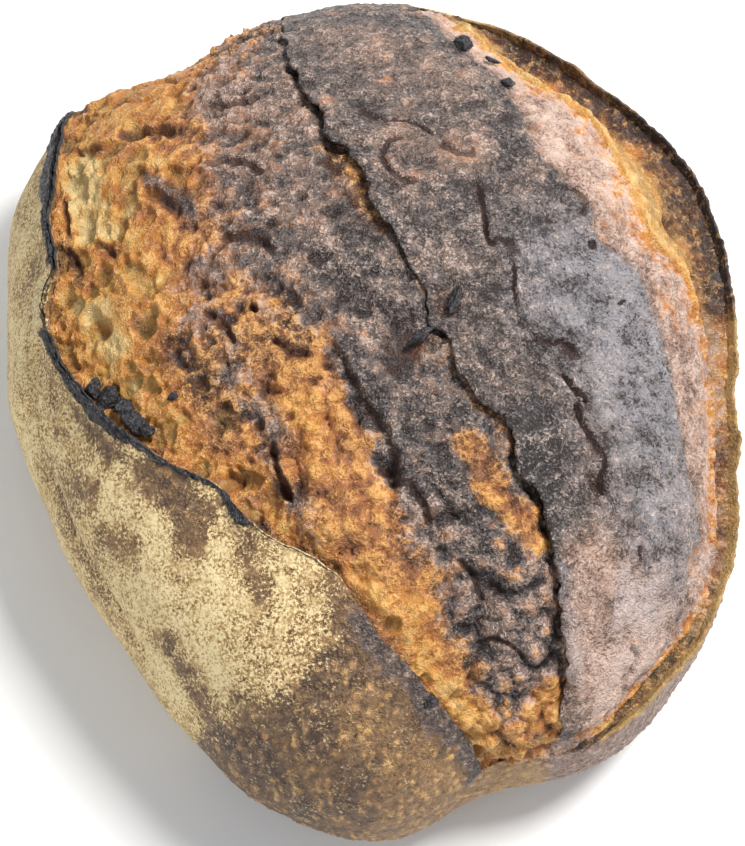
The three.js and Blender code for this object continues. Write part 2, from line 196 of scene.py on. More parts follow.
# Patches of finish: places, half width, softness, {finish: value}.
CRUMB_PATCHES = [
    ([(-82, 58), (-82, 45), (-79, 36)], 6.5, 4.0, {"bake": 0.03, "khaki": 0.25}),
    ([(-94, 19), (-88, 13), (-82, 0)], 4.5, 4.0, {"bake": 0.10, "khaki": 0.3}),
    ([(-89, 51), (-90, 39)], 1.2, 0.8, {"bake": 0.8}),
    ([(-92, 36), (-90, 26)], 2.2, 1.2, {"bake": 0.86}),
    ([(-84, 33), (-76, 29)], 2.6, 1.6, {"bake": 0.56}),
    ([(-68, 66), (-60, 65), (-52, 62)], 1.6, 1.0, {"bake": 0.78}),
    ([(-80, 64), (-69, 61)], 1.4, 1.0, {"bake": 0.7}),
    ([(-79, 33), (-74, 29)], 2.6, 1.5, {"bake": 0.6}),
    ([(-69, 84), (-62, 97), (-42, 94)], 6.0, 5.0, {"bake": 0.42}),
    ([(-47, 78), (-44, 53), (-44, 28), (-53, 10), (-55, -14)], 5.0, 5.0, {"bake": 0.5}),
    ([(-61, 47), (-54, 41), (-47, 34)], 3.0, 1.4, {"bake": 0.88, "plate": 0.5}),
    ([(-80, -19), (-74, -29)], 3.0, 2.0, {"flour": 0.35}),
    ([(-44, 78), (-36, 69), (-22, 66)], 8.0, 7.0, {"bake": 0.48, "plate": 0.75}),
    ([(-33, 44), (-15, 34)], 8.0, 6.0, {"bake": 0.62, "plate": 0.7}),
    ([(-32, 24), (-14, 13)], 6.0, 6.0, {"bake": 0.72, "plate": 0.7}),
    ([(-8, 23), (-2, 13), (4, 4)], 9.0, 3.5, {"bake": 0.74, "plate": 1.0}),
    ([(-11, 52), (-5, 40), (1, 28)], 3.0, 3.0, {"bake": 0.64, "plate": 0.0}),
    ([(25, -76), (33, -82), (38, -92)], 5.0, 4.0, {"bake": 0.70, "plate": 0.9}),
    ([(-25, -16), (-14, -32), (-9, -43), (-5, -57), (-1, -68)], 9.0, 5.0,
     {"bake": 0.42, "plate": 0.0, "shine": 0.8}),
    ([(-58, -16), (-54, -27), (-50, -36)], 6.0, 5.0, {"bake": 0.86, "plate": 0.1}),
    ([(-27, -28), (-22, -40)], 6.0, 5.0, {"bake": 0.26, "plate": -0.1}),
    ([(-38, -1), (-34, -19)], 4.0, 4.0, {"bake": 0.60, "plate": 0.0}),
    ([(-39, -27), (-27, -37)], 3.0, 3.0, {"bake": 0.76, "plate": 0.5}),
    ([(-34, -38), (-30, -45), (-24, -53)], 1.6, 1.2, {"bake": 0.72}),
    ([(-11, -9), (-1, -21), (5, -36), (8, -49)], 4.0, 3.0, {"bake": 0.82, "plate": 1.0}),
    ([(15, -9), (25, -17), (35, -31)], 7.0, 5.0, {"bake": 0.74, "plate": 0.45}),
    ([(8, -22), (20, -30), (16, -50), (24, -62)], 8.0, 6.0, {"bake": 0.78, "plate": 0.75}),
    ([(28, -21), (34, -25)], 3.0, 3.0, {"bake": 0.66, "plate": 0.2}),
    ([(22, -34), (27, -39), (31, -43)], 3.4, 2.4, {"bake": 0.44, "plate": -0.2}),
    ([(31, -47), (37, -53), (42, -59)], 3.2, 2.2, {"bake": 0.42, "plate": -0.2}),
    ([(14, -94), (20, -104), (28, -114)], 5.0, 4.0, {"bake": 0.20, "plate": -0.2}),
    ([(34, -126), (46, -119), (51, -103)], 8.0, 5.0, {"bake": 0.20, "plate": 0.0}),
    ([(39, -120), (40, -121)], 2.0, 1.0, {"bake": 0.85}),
    ([(48, -116), (49, -117)], 2.4, 1.0, {"bake": 0.85}),
    ([(32, -133), (33, -133)], 2.0, 1.0, {"bake": 0.85}),
]
PLATE_PATCHES = [
    ([(-24, 102), (-13, 82), (-5, 61)], 5.0, 4.0, {"bake": 0.82}),
    ([(4, 55), (13, 50), (24, 52)], 6.0, 4.0, {"bake": 0.56, "plate": 0.7}),
    ([(-13, 91), (5, 84), (18, 71)], 10.0, 6.0, {"bake": 0.62}),
    ([(46, -26), (46, -36), (42, -42)], 8.0, 5.0, {"bake": 0.92}),
    ([(2, 44), (7, 40), (12, 42)], 1.6, 2.4, {"bake": 0.60, "plate": 0.5}),
    ([(15, 50), (26, 51)], 1.4, 1.6, {"bake": 0.56, "plate": 0.5}),
    ([(69, 6), (84, -25), (88, -53)], 12.0, 8.0, {"bake": 0.84}),
    ([(45, 25), (67, 16)], 9.0, 6.0, {"bake": 0.86}),
    ([(57, -64), (73, -74), (84, -91)], 7.0, 6.0, {"bake": 0.34}),
    # This strip also takes some painted sheen.
    ([(47, -66), (50, -80), (53, -93)], 2.0, 1.4, {"bake": 0.86, "plate": 1.0, "lilac_sheen": 0.5, "shine": 0.9}),
    ([(51, -84), (70, -101)], 12.0, 8.0, {"bake": 0.34}),
]
SKIN_PATCHES = [
    ([(-98, -20), (-95, -30), (-89, -36)], 3.0, 2.0, {"flour": 0.16, "bake": 0.66}),
    ([(-74, -46), (-64, -54), (-60, -64)], 6.5, 3.0, {"flour": 0.14, "bake": 0.66}),
    ([(-107, -44), (-99, -47)], 3.5, 4.0, {"flour": 0.34, "bake": 0.56}),
    ([(-98, -64), (-86, -68)], 4.5, 4.5, {"flour": 0.34, "bake": 0.56}),
    ([(-38, -66), (-34, -76)], 4.5, 4.0, {"flour": 0.32, "bake": 0.60}),
    ([(-70, -98), (-56, -114)], 5.0, 4.5, {"flour": 0.28, "bake": 0.62}),
    ([(-38, -92), (-28, -88), (-18, -80)], 5.0, 6.0, {"flour": 0.56}),
    ([(-126, -30), (-112, -70), (-98, -96)], 3.0, 5.0, {"flour": 0.42, "bake": 0.60}),
]
# Floured skin ends here, and the bare, blistered skin begins on its right.
FLOUR_EDGE = [(-2, -66), (-6, -75), (-15, -86), (-27, -99), (-41, -106), (-48, -116), (-68, -135), (-90, -170)]
BARE_SKIN_END = [(45, -118), (58, -140), (70, -175), (80, -200)]

# Width of the charred lip by share of the left ear.
LIP_WIDTHS = [
    (0.0, 0.4), (0.03, 1.2), (0.06, 4.0), (0.085, 6.5), (0.145, 7.0), (0.165, 3.0), (0.225, 3.5), (0.25, 7.0),
    (0.29, 7.5), (0.31, 3.0), (0.36, 2.2), (0.395, 4.0), (0.455, 4.0), (0.475, 2.4), (0.52, 2.2), (0.535, 1.2),
    (0.58, 1.2), (0.60, 0.7), (0.615, 2.6), (0.64, 2.2), (0.66, 0.3), (0.76, 0.2),
]

LIP_FLOUR = ((0.215, 0.24), (0.315, 0.295))  # shares of the lip where flour begins and ends

BURIED_HEIGHT = 20.0  # flat underside of the torn pieces, inside the loaf
BURIED_SHRINK = 0.9  # plan size of that underside, as a share of the piece
LOFT_BEYOND = (16.0, 12.0)  # how far the torn pieces run on past the far and the near ends
END_SIGHT = 12  # steps of a line that give its way at an end
CRUMB_WIDTH, PLATE_WIDTH = 75.0, 95.0  # across the middle of each torn piece
CRUMB_TUCKS, PLATE_TUCK = (5.0, 6.0), 5.0  # how far each runs on under its neighbours
OPENING_REACH, TEAR_REACH = 10.0, 8.0  # furthest that a tucked edge is followed
CREST_DIP = (1.0, -28.0, 22.0, 0.5)  # s, t, radius and depth; keeps the crest inside the form
CRUMB_COLUMNS, CRUMB_ROWS = 176, 556
PLATE_COLUMNS, PLATE_ROWS = 220, 440
SKIN_COLUMNS, SKIN_RINGS = 1000, 100


# ---------------------------------------------------------------------------------------------
# The loaf's smooth form
# ---------------------------------------------------------------------------------------------

def smooth(start, end, value):
    """Goes smoothly from 0 at start to 1 at end; start may be the larger."""
    f = np.clip((value - start) / (end - start), 0.0, 1.0)
    return f * f * (3.0 - 2.0 * f)


def fade(along, first, last):
    """1 along the middle of a line, and down to 0 over the given share at each end."""
    return smooth(0.0, first, along) * smooth(0.0, last, 1.0 - along)


def mix(a, b, weight):
    """From a at weight 0 to b at weight 1."""
    return a + (b - a) * weight


def plan_radius(angle):
    """Radius of the widest ring, as a smooth curve through PLAN_RADII."""
    count = len(PLAN_RADII)
    turn = (angle / (2.0 * np.pi)) % 1.0 * count
    i = np.floor(turn).astype(int)
    f = turn - i
    a, b, c, d = (PLAN_RADII[(i + k) % count] for k in (-1, 0, 1, 2))
    return 0.5 * (2 * b + (c - a) * f + (2 * a - 5 * b + 4 * c - d) * f ** 2
                  + (3 * b - a - 3 * c + d) * f ** 3)


def profile(lift):
    """Reach and height, from the crown (lift 90 degrees) to the middle of the base (-90)."""
    side, up = np.abs(np.cos(lift)), np.sin(lift)
    over = up >= 0
    reach = np.where(over, side ** (2 / DOME_FULLNESS), side ** UNDERCUT)
    rise = (CROWN_HEIGHT - WAIST_HEIGHT) * np.abs(up) ** (2 / CROWN_FULLNESS)
    fall = WAIST_HEIGHT * np.maximum(0.0, 1.0 - 1.25 * np.abs(up) ** 0.9)
    return reach, np.where(over, WAIST_HEIGHT + rise, fall)


LIFTS = np.linspace(np.pi / 2, -np.pi / 2, WALK_STEPS + 1)
REACHES, HEIGHTS = profile(LIFTS)
WALKS = np.concatenate(
    [[0.0], np.cumsum(np.hypot(np.diff(REACHES) * MEAN_RADIUS, np.diff(HEIGHTS)))])
BASE_WALK = float(WALKS[np.argmax((np.arange(WALK_STEPS + 1) > WALK_STEPS / 2) & (REACHES < BASE_REACH))])
WALK_TO_END = float(WALKS[-1])


def crust_point(st):
    """Where a place on the crust lies, in millimetres."""
    lift = np.interp(np.hypot(st[..., 0], st[..., 1]), WALKS, LIFTS)
    reach, height = profile(lift)
    angle = np.arctan2(st[..., 1], st[..., 0])
    radius = reach * plan_radius(angle)
    return np.stack([
        PLAN_CENTRE[0] + radius * np.cos(angle), PLAN_CENTRE[1] + radius * np.sin(angle), height], -1)


def crust_normal(st, reach=0.6):
    """The way out of the crust at a place, of length 1."""
    ds, dt = np.array([reach, 0.0]), np.array([0.0, reach])
    normal = np.cross(crust_point(st + ds) - crust_point(st - ds),
                      crust_point(st + dt) - crust_point(st - dt))
    return normal / np.maximum(1e-9, np.linalg.norm(normal, axis=-1, keepdims=True))


# ---------------------------------------------------------------------------------------------
# Lines, grain and cells
# ---------------------------------------------------------------------------------------------

class Grain:
    """Repeatable natural unevenness at places in millimetres."""

    GAIN = 1.6  # brings the noise to about -1 to 1
    LAYER_SHIFT, RIDGE_SHIFT = 31.7, 17.3  # keep the layers from lining up

    def __init__(self, seed):
        draw = np.random.default_rng(seed)
        self.order = np.tile(draw.permutation(256), 2)
        ways = draw.normal(size=(256, 3))
        self.ways = ways / np.linalg.norm(ways, axis=1, keepdims=True)
        self.nuclei = draw.random((256, 2))
        self.sorts = draw.random(256)

    def at(self, place, size):
        """Smooth noise, about -1 to 1, whose lumps are size millimetres across."""
        scaled = place / size
        low = np.floor(scaled)
        f = scaled - low
        cell = low.astype(np.int64) & 255
        ease = f * f * f * (f * (f * 6 - 15) + 10)
        total = np.zeros(place.shape[:-1])
        for corner in np.ndindex(2, 2, 2):
            way = self.order[self.order[self.order[(cell[..., 0] + corner[0]) & 255]
                             + ((cell[..., 1] + corner[1]) & 255)] + ((cell[..., 2] + corner[2]) & 255)]
            weight = np.ones(place.shape[:-1])
            for axis in range(3):
                weight = weight * (ease[..., axis] if corner[axis] else 1 - ease[..., axis])
            total += weight * np.einsum("...i,...i", self.ways[way], f - np.array(corner))
        return total * self.GAIN

    def _stacked(self, shape, place, shift, size, count, keep):
        total, share, whole = 0.0, 1.0, 0.0
        for k in range(count):
            total = total + share * shape(self.at(place + shift * k, size / 2 ** k))
            whole += share
            share *= keep
        return total / whole

    def layers(self, place, size, count=3, keep=0.5):
        """Noise in layers, each of half the size and keep times the strength of the last."""
        return self._stacked(lambda noise: noise, place, self.LAYER_SHIFT, size, count, keep)

    def ridges(self, place, size, count=3, keep=0.5):
        """The same layers, folded to sharp ridges."""
        return self._stacked(lambda noise: 1 - 2 * np.abs(noise), place, self.RIDGE_SHIFT, size, count, keep)

    def cells(self, st, size):
        """Distance to the nearest nucleus, in cells, and that nucleus's sort from 0 to 1."""
        scaled = st / size
        low = np.floor(scaled).astype(np.int64)
        first = np.full(st.shape[:-1], np.inf)
        sort = np.zeros(st.shape[:-1])
        for dx in (-1, 0, 1):
            for dy in (-1, 0, 1):
                key = self.order[self.order[(low[..., 0] + dx) & 255] + ((low[..., 1] + dy) & 255)]
                spot = low + np.array([dx, dy]) + self.nuclei[key]
                far = np.hypot(scaled[..., 0] - spot[..., 0], scaled[..., 1] - spot[..., 1])
                nearer = far < first
                sort = np.where(nearer, self.sorts[key], sort)
                first = np.where(nearer, far, first)
        return first, sort


def rounded(points, step):
    """A Catmull-Rom curve through the points, as even short steps."""
    p = np.array(points, float)
    p = np.vstack([2 * p[0] - p[1], p, 2 * p[-1] - p[-2]])
    f = np.linspace(0, 1, 8, endpoint=False)[:, None]
    parts = []
    for a, b, c, d in zip(p[:-3], p[1:-2], p[2:-1], p[3:]):
        parts.append(0.5 * (2 * b + (c - a) * f + (2 * a - 5 * b + 4 * c - d) * f ** 2
                            + (3 * b - a - 3 * c + d) * f ** 3))
    curve = np.vstack(parts + [p[-2:-1]])
    return along_points(curve, max(2, int(math.ceil(length_of(curve) / step)) + 1))


def length_of(curve):
    """Length of a line, in millimetres."""
    return float(np.hypot(*np.diff(curve, axis=0).T).sum())


def along_points(curve, count, shares=None):
    """Places at even shares, or the given shares, of a line's length."""
    walked = np.concatenate([[0], np.cumsum(np.hypot(*np.diff(curve, axis=0).T))])
    wanted = (np.linspace(0, 1, count) if shares is None else shares) * walked[-1]
    return np.stack([np.interp(wanted, walked, curve[:, k]) for k in (0, 1)], -1)


def ragged(curve, size, amount, seed):
    """Pushes a line sideways by grain."""
    grain = Grain(seed)
    place = np.column_stack([curve, np.zeros(len(curve))])
    way = np.gradient(curve, axis=0)
    way = way / np.maximum(1e-9, np.linalg.norm(way, axis=1, keepdims=True))
    side = np.stack([-way[:, 1], way[:, 0]], -1)
    return curve + side * (amount * grain.layers(place, size, 3, 0.6))[:, None]


class Line:
    """A line walked over the crust."""

    def __init__(self, points, step=1.6):
        self.curve = rounded(points, step) if step else np.array(points, float)
        self.starts = self.curve[:-1]
        self.steps = np.diff(self.curve, axis=0)
        self.lengths = np.hypot(*self.steps.T)
        self.walked = np.concatenate([[0], np.cumsum(self.lengths)])

    def beside(self, st, reach=1e9):
        """Share along the line, and the distance to its right side (negative on its left)."""
        flat = st.reshape(-1, 2)
        along = np.zeros(len(flat))
        right = np.full(len(flat), 1e3)
        low, high = self.curve.min(0) - reach, self.curve.max(0) + reach
        chosen = np.flatnonzero(((flat > low) & (flat < high)).all(1))
        stride = max(2, int(math.sqrt(len(self.starts) / 2)))
        posts = self.starts[::stride]
        near_steps = np.arange(-stride, stride + 1)
        for chunk in np.array_split(chosen, max(1, len(chosen) // 8000)):
            if not len(chunk):
                continue
            here = flat[chunk]
            post = np.hypot(here[:, :1] - posts[:, 0], here[:, 1:] - posts[:, 1]).argmin(1) * stride
            window = np.clip(post[:, None] + near_steps, 0, len(self.starts) - 1)
            off_s = here[:, :1] - self.starts[window, 0]
            off_t = here[:, 1:] - self.starts[window, 1]
            step_s, step_t = self.steps[window, 0], self.steps[window, 1]
            f = np.clip((off_s * step_s + off_t * step_t) / self.lengths[window] ** 2, 0, 1)
            square = (off_s - f * step_s) ** 2 + (off_t - f * step_t) ** 2
            pick = (np.arange(len(chunk)), square.argmin(1))
            turn = step_s[pick] * off_t[pick] - step_t[pick] * off_s[pick]
            right[chunk] = np.where(turn < 0, -1.0, 1.0) * np.sqrt(square[pick])
            best = window[pick]
            along[chunk] = (self.walked[best] + f[pick] * self.lengths[best]) / self.walked[-1]
        return along.reshape(st.shape[:-1]), right.reshape(st.shape[:-1])


def steps_of(pairs, along):
    """Reads a table of (share of the line, value), with straight steps between."""
    x, y = np.array(pairs).T
    return np.interp(along, x, y)


NEAR_LINK = [(33, -132), (53, -124), (67, -116)]
FAR_LINK = [(24, 115), (-5, 133), (-30, 131), (-91, 98)]
EAR_LEFT = Line(LEFT_EAR)
EAR_RIGHT = Line(RIGHT_EAR)
LEFT_RIM = ragged(EAR_LEFT.curve, 5.0, 0.8, SEEDS["left rim"])
CRUMB_TOP = Line(CRUMB_LINE)
TEAR_COURSE = ragged(rounded(LONG_TEAR, 0.4), 10.0, 2.6, SEEDS["tear"])
TEAR = Line(ragged(TEAR_COURSE, 3.4, 1.0, SEEDS["tear nibble"]), step=0)
FOLD = Line(ragged(rounded(MIDDLE_TEAR, 0.5), 7.0, 1.5, SEEDS["fold"]), step=0)
PLATE_SIDE = Line(ragged(rounded(PLATE_EDGE, 1.0), 8.0, 2.2, SEEDS["plate side"]), step=0)
GOLD_SIDE = Line(GOLD_EDGE)
SEAM = Line(ragged(rounded(PLATE_SEAM, 0.5), 4.0, 1.0, SEEDS["seam"]), step=0)
SKIN_SPLIT = Line(SKIN_CRACK)
FOOT_FOLD = Line(FOOT_CREASE)
FLOUR_SIDE = Line(FLOUR_EDGE)
WALL_START = Line(BARE_SKIN_END)
OPENING = Line(np.vstack([
    EAR_LEFT.curve, rounded(NEAR_LINK, 1.0), EAR_RIGHT.curve[::-1], rounded(FAR_LINK, 1.0)[1:]]), step=0)


def outside_opening(st):
    """Distance outside the opening between the ears, up to OPENING_REACH."""
    return np.clip(-OPENING.beside(st)[1], 0.0, OPENING_REACH)


# ---------------------------------------------------------------------------------------------
# Relief and finish of the crust
# ---------------------------------------------------------------------------------------------

# Two of these finishes are painted light: one darkens hollows, cracks and the gaps under torn edges with
# painted shade, and one lays a painted bluish-grey sheen on the smooth side of the top plate.
FINISHES = ("bake", "plate", "lilac_sheen", "flour", "char", "shine", "hollow", "relief", "khaki")


def blank_finish(shape):
    """No finish yet, for places of this shape."""
    return {name: np.zeros(shape) for name in FINISHES}


def hollow_out(finish, depth):
    """Darkens hollows, cracks and gaps with painted shade, where it isn't deeper already."""
    finish["hollow"] = np.maximum(finish["hollow"], depth)


def from_spot(st, s, t, radius):
    """Distance from a spot on the crust, in radii."""
    return np.hypot(st[..., 0] - s, st[..., 1] - t) / radius


def lumps(spots, sign, st):
    """Soft rises (sign 1) or hollows (sign -1) at a list of (s, t, radius, size)."""
    total = np.zeros(st.shape[:-1])
    for s, t, radius, size in spots:
        q = from_spot(st, s, t, radius)
        total += sign * size * np.exp(-1.6 * q * q)
    return total


def slow_waves(st):
    """The slack, wide waves of the whole crust."""
    s, t = st[..., 0], st[..., 1]
    return np.sin(s / 13 + 1.7 * np.sin(t / 17)) * np.cos(t / 12 + np.sin(s / 21))


def patch(finish, patches, st, place):
    """Blends named patches into the finish, with wandering, torn edges."""
    grain = Grain(SEEDS["patches"])
    drift = np.stack([grain.layers(place + 70, 9.0, 3, 0.6), grain.layers(place + 140, 9.0, 3, 0.6)], -1)
    nibble = 3.2 * grain.layers(place, 4.5, 5, 0.75)
    for points, wide, soft, values in patches:
        _, right = Line(points, 2.0).beside(st + 4.5 * drift, wide + 3 * soft + 12)
        edge = soft * 1.4
        weight = smooth(wide + edge, wide - edge, np.abs(right) + nibble * min(1.0, soft / 2.0))
        for name, value in values.items():
            kept = 0.45 * (finish[name] - finish[name].mean()) if name == "bake" else 0.0
            finish[name] = mix(finish[name], value + kept, weight)


def crack_relief(finish, st, height, cracks):
    """Cuts ragged cracks, whose right edge curls up, into the height and the finish."""
    for index, (points, wide, depth) in enumerate(cracks):
        curve = ragged(rounded(points, 0.5), 3.0, 0.9, SEEDS["cracks"] + index)
        along, right = Line(curve, step=0).beside(st, 8)
        ends = fade(along, 0.12, 0.12)
        cut = np.exp(-(right / wide) ** 2) * ends
        height -= depth * cut
        height += 0.65 * depth * np.exp(-np.abs(right - 1.4) / 1.6) * ends * (right > 0)
        # Painted shade inside the crack.
        hollow_out(finish, 1.3 * smooth(0.2, 0.6, cut))


def left_hollow(st):
    """Share along the left ear, distance to its right, and how deep the crumb lies there."""
    along, right = EAR_LEFT.beside(st)
    depth = (1.4 - 0.4 * smooth(0.45, 0.65, along)) * fade(along, 0.04, 0.03)
    return along, right, depth


def crumb_relief(st, place):
    """Height over the smooth form, and finish, of the crumb between the left ear and the tear."""
    grain, fine = Grain(SEEDS["crumb"]), Grain(SEEDS["crumb cells"])
    ear_along, ear_right, depth = left_hollow(st)
    tear_along, tear_right = TEAR.beside(st)
    _, gold_right = GOLD_SIDE.beside(st)
    fold_along, fold_right = FOLD.beside(st, 40)
    wander = grain.layers(place, 11.0, 3, 0.6)
    golden = smooth(6.0, -7.0, gold_right + 11.0 * wander)
    near_end = smooth(-60, -110, st[..., 1])

    height = -depth * smooth(18, 0, ear_right) - 1.2 * smooth(60, 15, ear_right) * fade(ear_along, 0.1, 0.5)
    step = steps_of(TEAR_STEP, tear_along)
    gap = np.maximum(0.0, -tear_right)
    height -= 0.5 * step * np.exp(-gap / 10.0)
    fold = fade(fold_along, 0.15, 0.25)
    spread = np.where(fold_right > 0, 14.0, 8.0)
    height += 2.2 * fold * np.tanh(fold_right / 0.8) * np.exp(-np.abs(fold_right) / spread)
    height += lumps(BUBBLES, 1, st) + lumps(PITS, -1, st) + 0.7 * slow_waves(st)
    dip_s, dip_t, dip_radius, dip_depth = CREST_DIP
    height -= dip_depth * np.exp(-from_spot(st, dip_s, dip_t, dip_radius) ** 2)

    # Torn crumb: open gas cells, and fibres pulled across the tear.
    drift = np.stack([wander, grain.layers(place + 33, 8.0, 3, 0.6)], -1)
    wide_first, wide_sort = grain.cells(st + 5.5 * drift, 9.5)
    open_cells = smooth(0.50, 0.20, wide_first) * (wide_sort < 0.6)
    cell_edges = np.exp(-((wide_first - 0.52) / 0.07) ** 2) * (wide_sort < 0.6)
    small_first, small_sort = fine.cells(st + 2.0 * drift, 3.9)
    small_cells = smooth(0.50, 0.20, small_first) * (small_sort < 0.45)
    hump_first, hump_sort = grain.cells(st + 2.0 * drift + 60, 6.2)
    fibres = grain.ridges(place * np.array([0.5, 1.0, 1.0]) + 2.0 * wander[..., None], 3.6, 4, 0.62)
    crumbly = grain.layers(place, 5.2, 5, 0.66)
    rolling = grain.ridges(place + 200, 13.0, 3, 0.6) - 0.5
    rough = 3.4 * crumbly + 1.0 * fibres - 0.7 * small_cells + 2.0 * rolling
    soft = 0.9 * crumbly + 0.55 * fibres - 1.8 * open_cells - 0.8 * small_cells + 0.4 * cell_edges
    humps = 1.7 * (1 - (hump_first / 0.62) ** 2) * (0.4 + 0.8 * hump_sort)
    humps = humps + 2.2 * crumbly + 0.8 * fibres - 0.2
    lumpy_line = Line([(-25, -10), (-14, -34), (2, -58), (22, -72), (38, -92), (38, -112)], 2)
    knobby = smooth(26, 12, np.abs(lumpy_line.beside(st)[1]) + 6 * wander)
    crust_noise = grain.layers(place + 130, 14.0, 5, 0.66)
    crusted = smooth(0.35, 0.75, 0.42 + 0.80 * crust_noise + 0.30 * smooth(-14, -1, tear_right))
    rough = rough * (1 - 0.45 * crusted) + 0.6 * crusted
    texture = mix(mix(rough, soft, golden), humps, knobby * (1 - 0.5 * golden))
    cell_rim, cell_floor, cell_shade = (np.zeros(st.shape[:-1]) for _ in range(3))
    khaki = 0.55 * open_cells * golden
    for s, t, radius, size, green in GAS_CELLS:
        q = from_spot(st, s, t, radius) + 0.16 * crumbly
        floor = smooth(1.05, 0.62, q)
        rim = np.exp(-((q - 1.15) / 0.22) ** 2)
        texture = mix(texture, 0.3 * crumbly - size, floor) + 0.35 * rim
        cell_floor, cell_rim = np.maximum(cell_floor, floor), np.maximum(cell_rim, rim)
        khaki = np.maximum(khaki, green * floor)
        # Painted shadow on the far, left side of each gas cell's floor.
        shaded = np.hypot(st[..., 0] - s + 0.35 * radius, st[..., 1] - t - 0.35 * radius) / radius
        shadow = smooth(0.85, 0.25, shaded + 0.2 * crumbly)
        cell_shade = np.maximum(cell_shade, min(1.0, 0.28 * size) * shadow)
    height += texture * smooth(-3, 5, ear_right + 1.5) - 0.9
    under_ear = 3.2 * np.exp(-np.maximum(0, ear_right) / 4.0) * fade(ear_along, 0.04, 0.04)
    height += under_ear * smooth(0.75, 0.55, ear_along)

    # Sinks out of sight under the skin and under the plate.
    outside = outside_opening(st)
    for tuck in (outside, np.clip(tear_right, 0.0, TEAR_REACH)):
        height -= 0.35 * tuck + 0.10 * tuck ** 2
    height -= smooth(0, 2, outside)

    finish = blank_finish(st.shape[:-1])
    pale = 0.27 + 0.34 * grain.layers(place + 50, 13.0, 4, 0.62) - 0.10 * open_cells - 0.04 * small_cells
    # Lighter where the grain stands up and darker where it sinks: painted highlight and shade, here and in the
    # brown crumb below.
    pale += 0.20 * cell_edges * (0.5 + 2 * crumbly) - 0.22 * crumbly + 0.04 * near_end
    # Darker, redder crumb in patches in the crevice along the left ear: partly its own colour, partly painted
    # shade.
    pale_noise = grain.layers(place + 400, 9.0, 3, 0.6)
    pale += 0.50 * smooth(3.5, 0, ear_right + 5 * wander) * smooth(-0.25, 0.25, pale_noise)
    brown = 0.86 + 0.28 * grain.layers(place + 90, 14.0, 4, 0.62)
    brown = brown - 0.62 * crumbly - 0.22 * fibres - 0.10 * rolling
    # Painted shade on the crumb at the foot of the tear's step.
    brown += 0.16 * np.exp(-gap / 6.0) * smooth(1.0, 3.0, step)
    finish["bake"] = mix(brown, pale, golden)
    finish["khaki"] = khaki
    greyed = 0.42 + 0.80 * grain.layers(place + 130, 14.0, 5, 0.66) + 0.30 * smooth(-14, -1, tear_right)
    lower = smooth(-48, -62, st[..., 1]) * smooth(5, 12, gold_right + 3 * wander)
    finish["plate"] = (1 - golden) * np.clip(greyed + (0.45 - 0.5 * (humps - 0.6)) * lower, 0, 1)
    # Lighter on the grain and humps that stand up, darker between them: painted highlight and shade.
    finish["bake"] = mix(finish["bake"], 0.70 - 0.55 * crumbly - 0.14 * (humps - 0.8), (1 - golden) * lower)
    finish["shine"] = 0.6 + 0.4 * golden
    patch(finish, CRUMB_PATCHES, st, place)
    # Pits are a little darker, and the deep ones also take painted shade.
    for s, t, radius, size in PITS:
        q = from_spot(st, s, t, radius)
        finish["bake"] += 0.12 * np.exp(-2.5 * q * q)
        if size > 3.2:
            hollow_out(finish, 0.9 * np.exp(-2.2 * q * q))
    # The painted shadow in the gas cells both shades them and darkens their bake.
    hollow_out(finish, 0.8 * cell_shade)
    finish["bake"] += 0.40 * cell_shade
    finish["bake"] += 0.22 * cell_rim * (0.6 + crumbly) - 0.10 * cell_floor * golden
    # Painted shadow of the plate's step on the crumb left of the tear, and painted shade along the fold.
    shadowed = 0.50 * smooth(3.4, 0.2, gap + 2.4 * crumbly) * (0.6 + 1.4 * wander)
    hollow_out(finish, shadowed * smooth(1.0, 3.0, step))
    hollow_out(finish, 0.7 * smooth(1.6, 0.2, np.abs(fold_right + 0.8)) * fold)
    finish["relief"] = np.clip(mix(texture / 1.5, texture / 1.3 + 0.2, golden), -1, 1)
    crack_relief(finish, st, height, CREASES)
    return height, finish


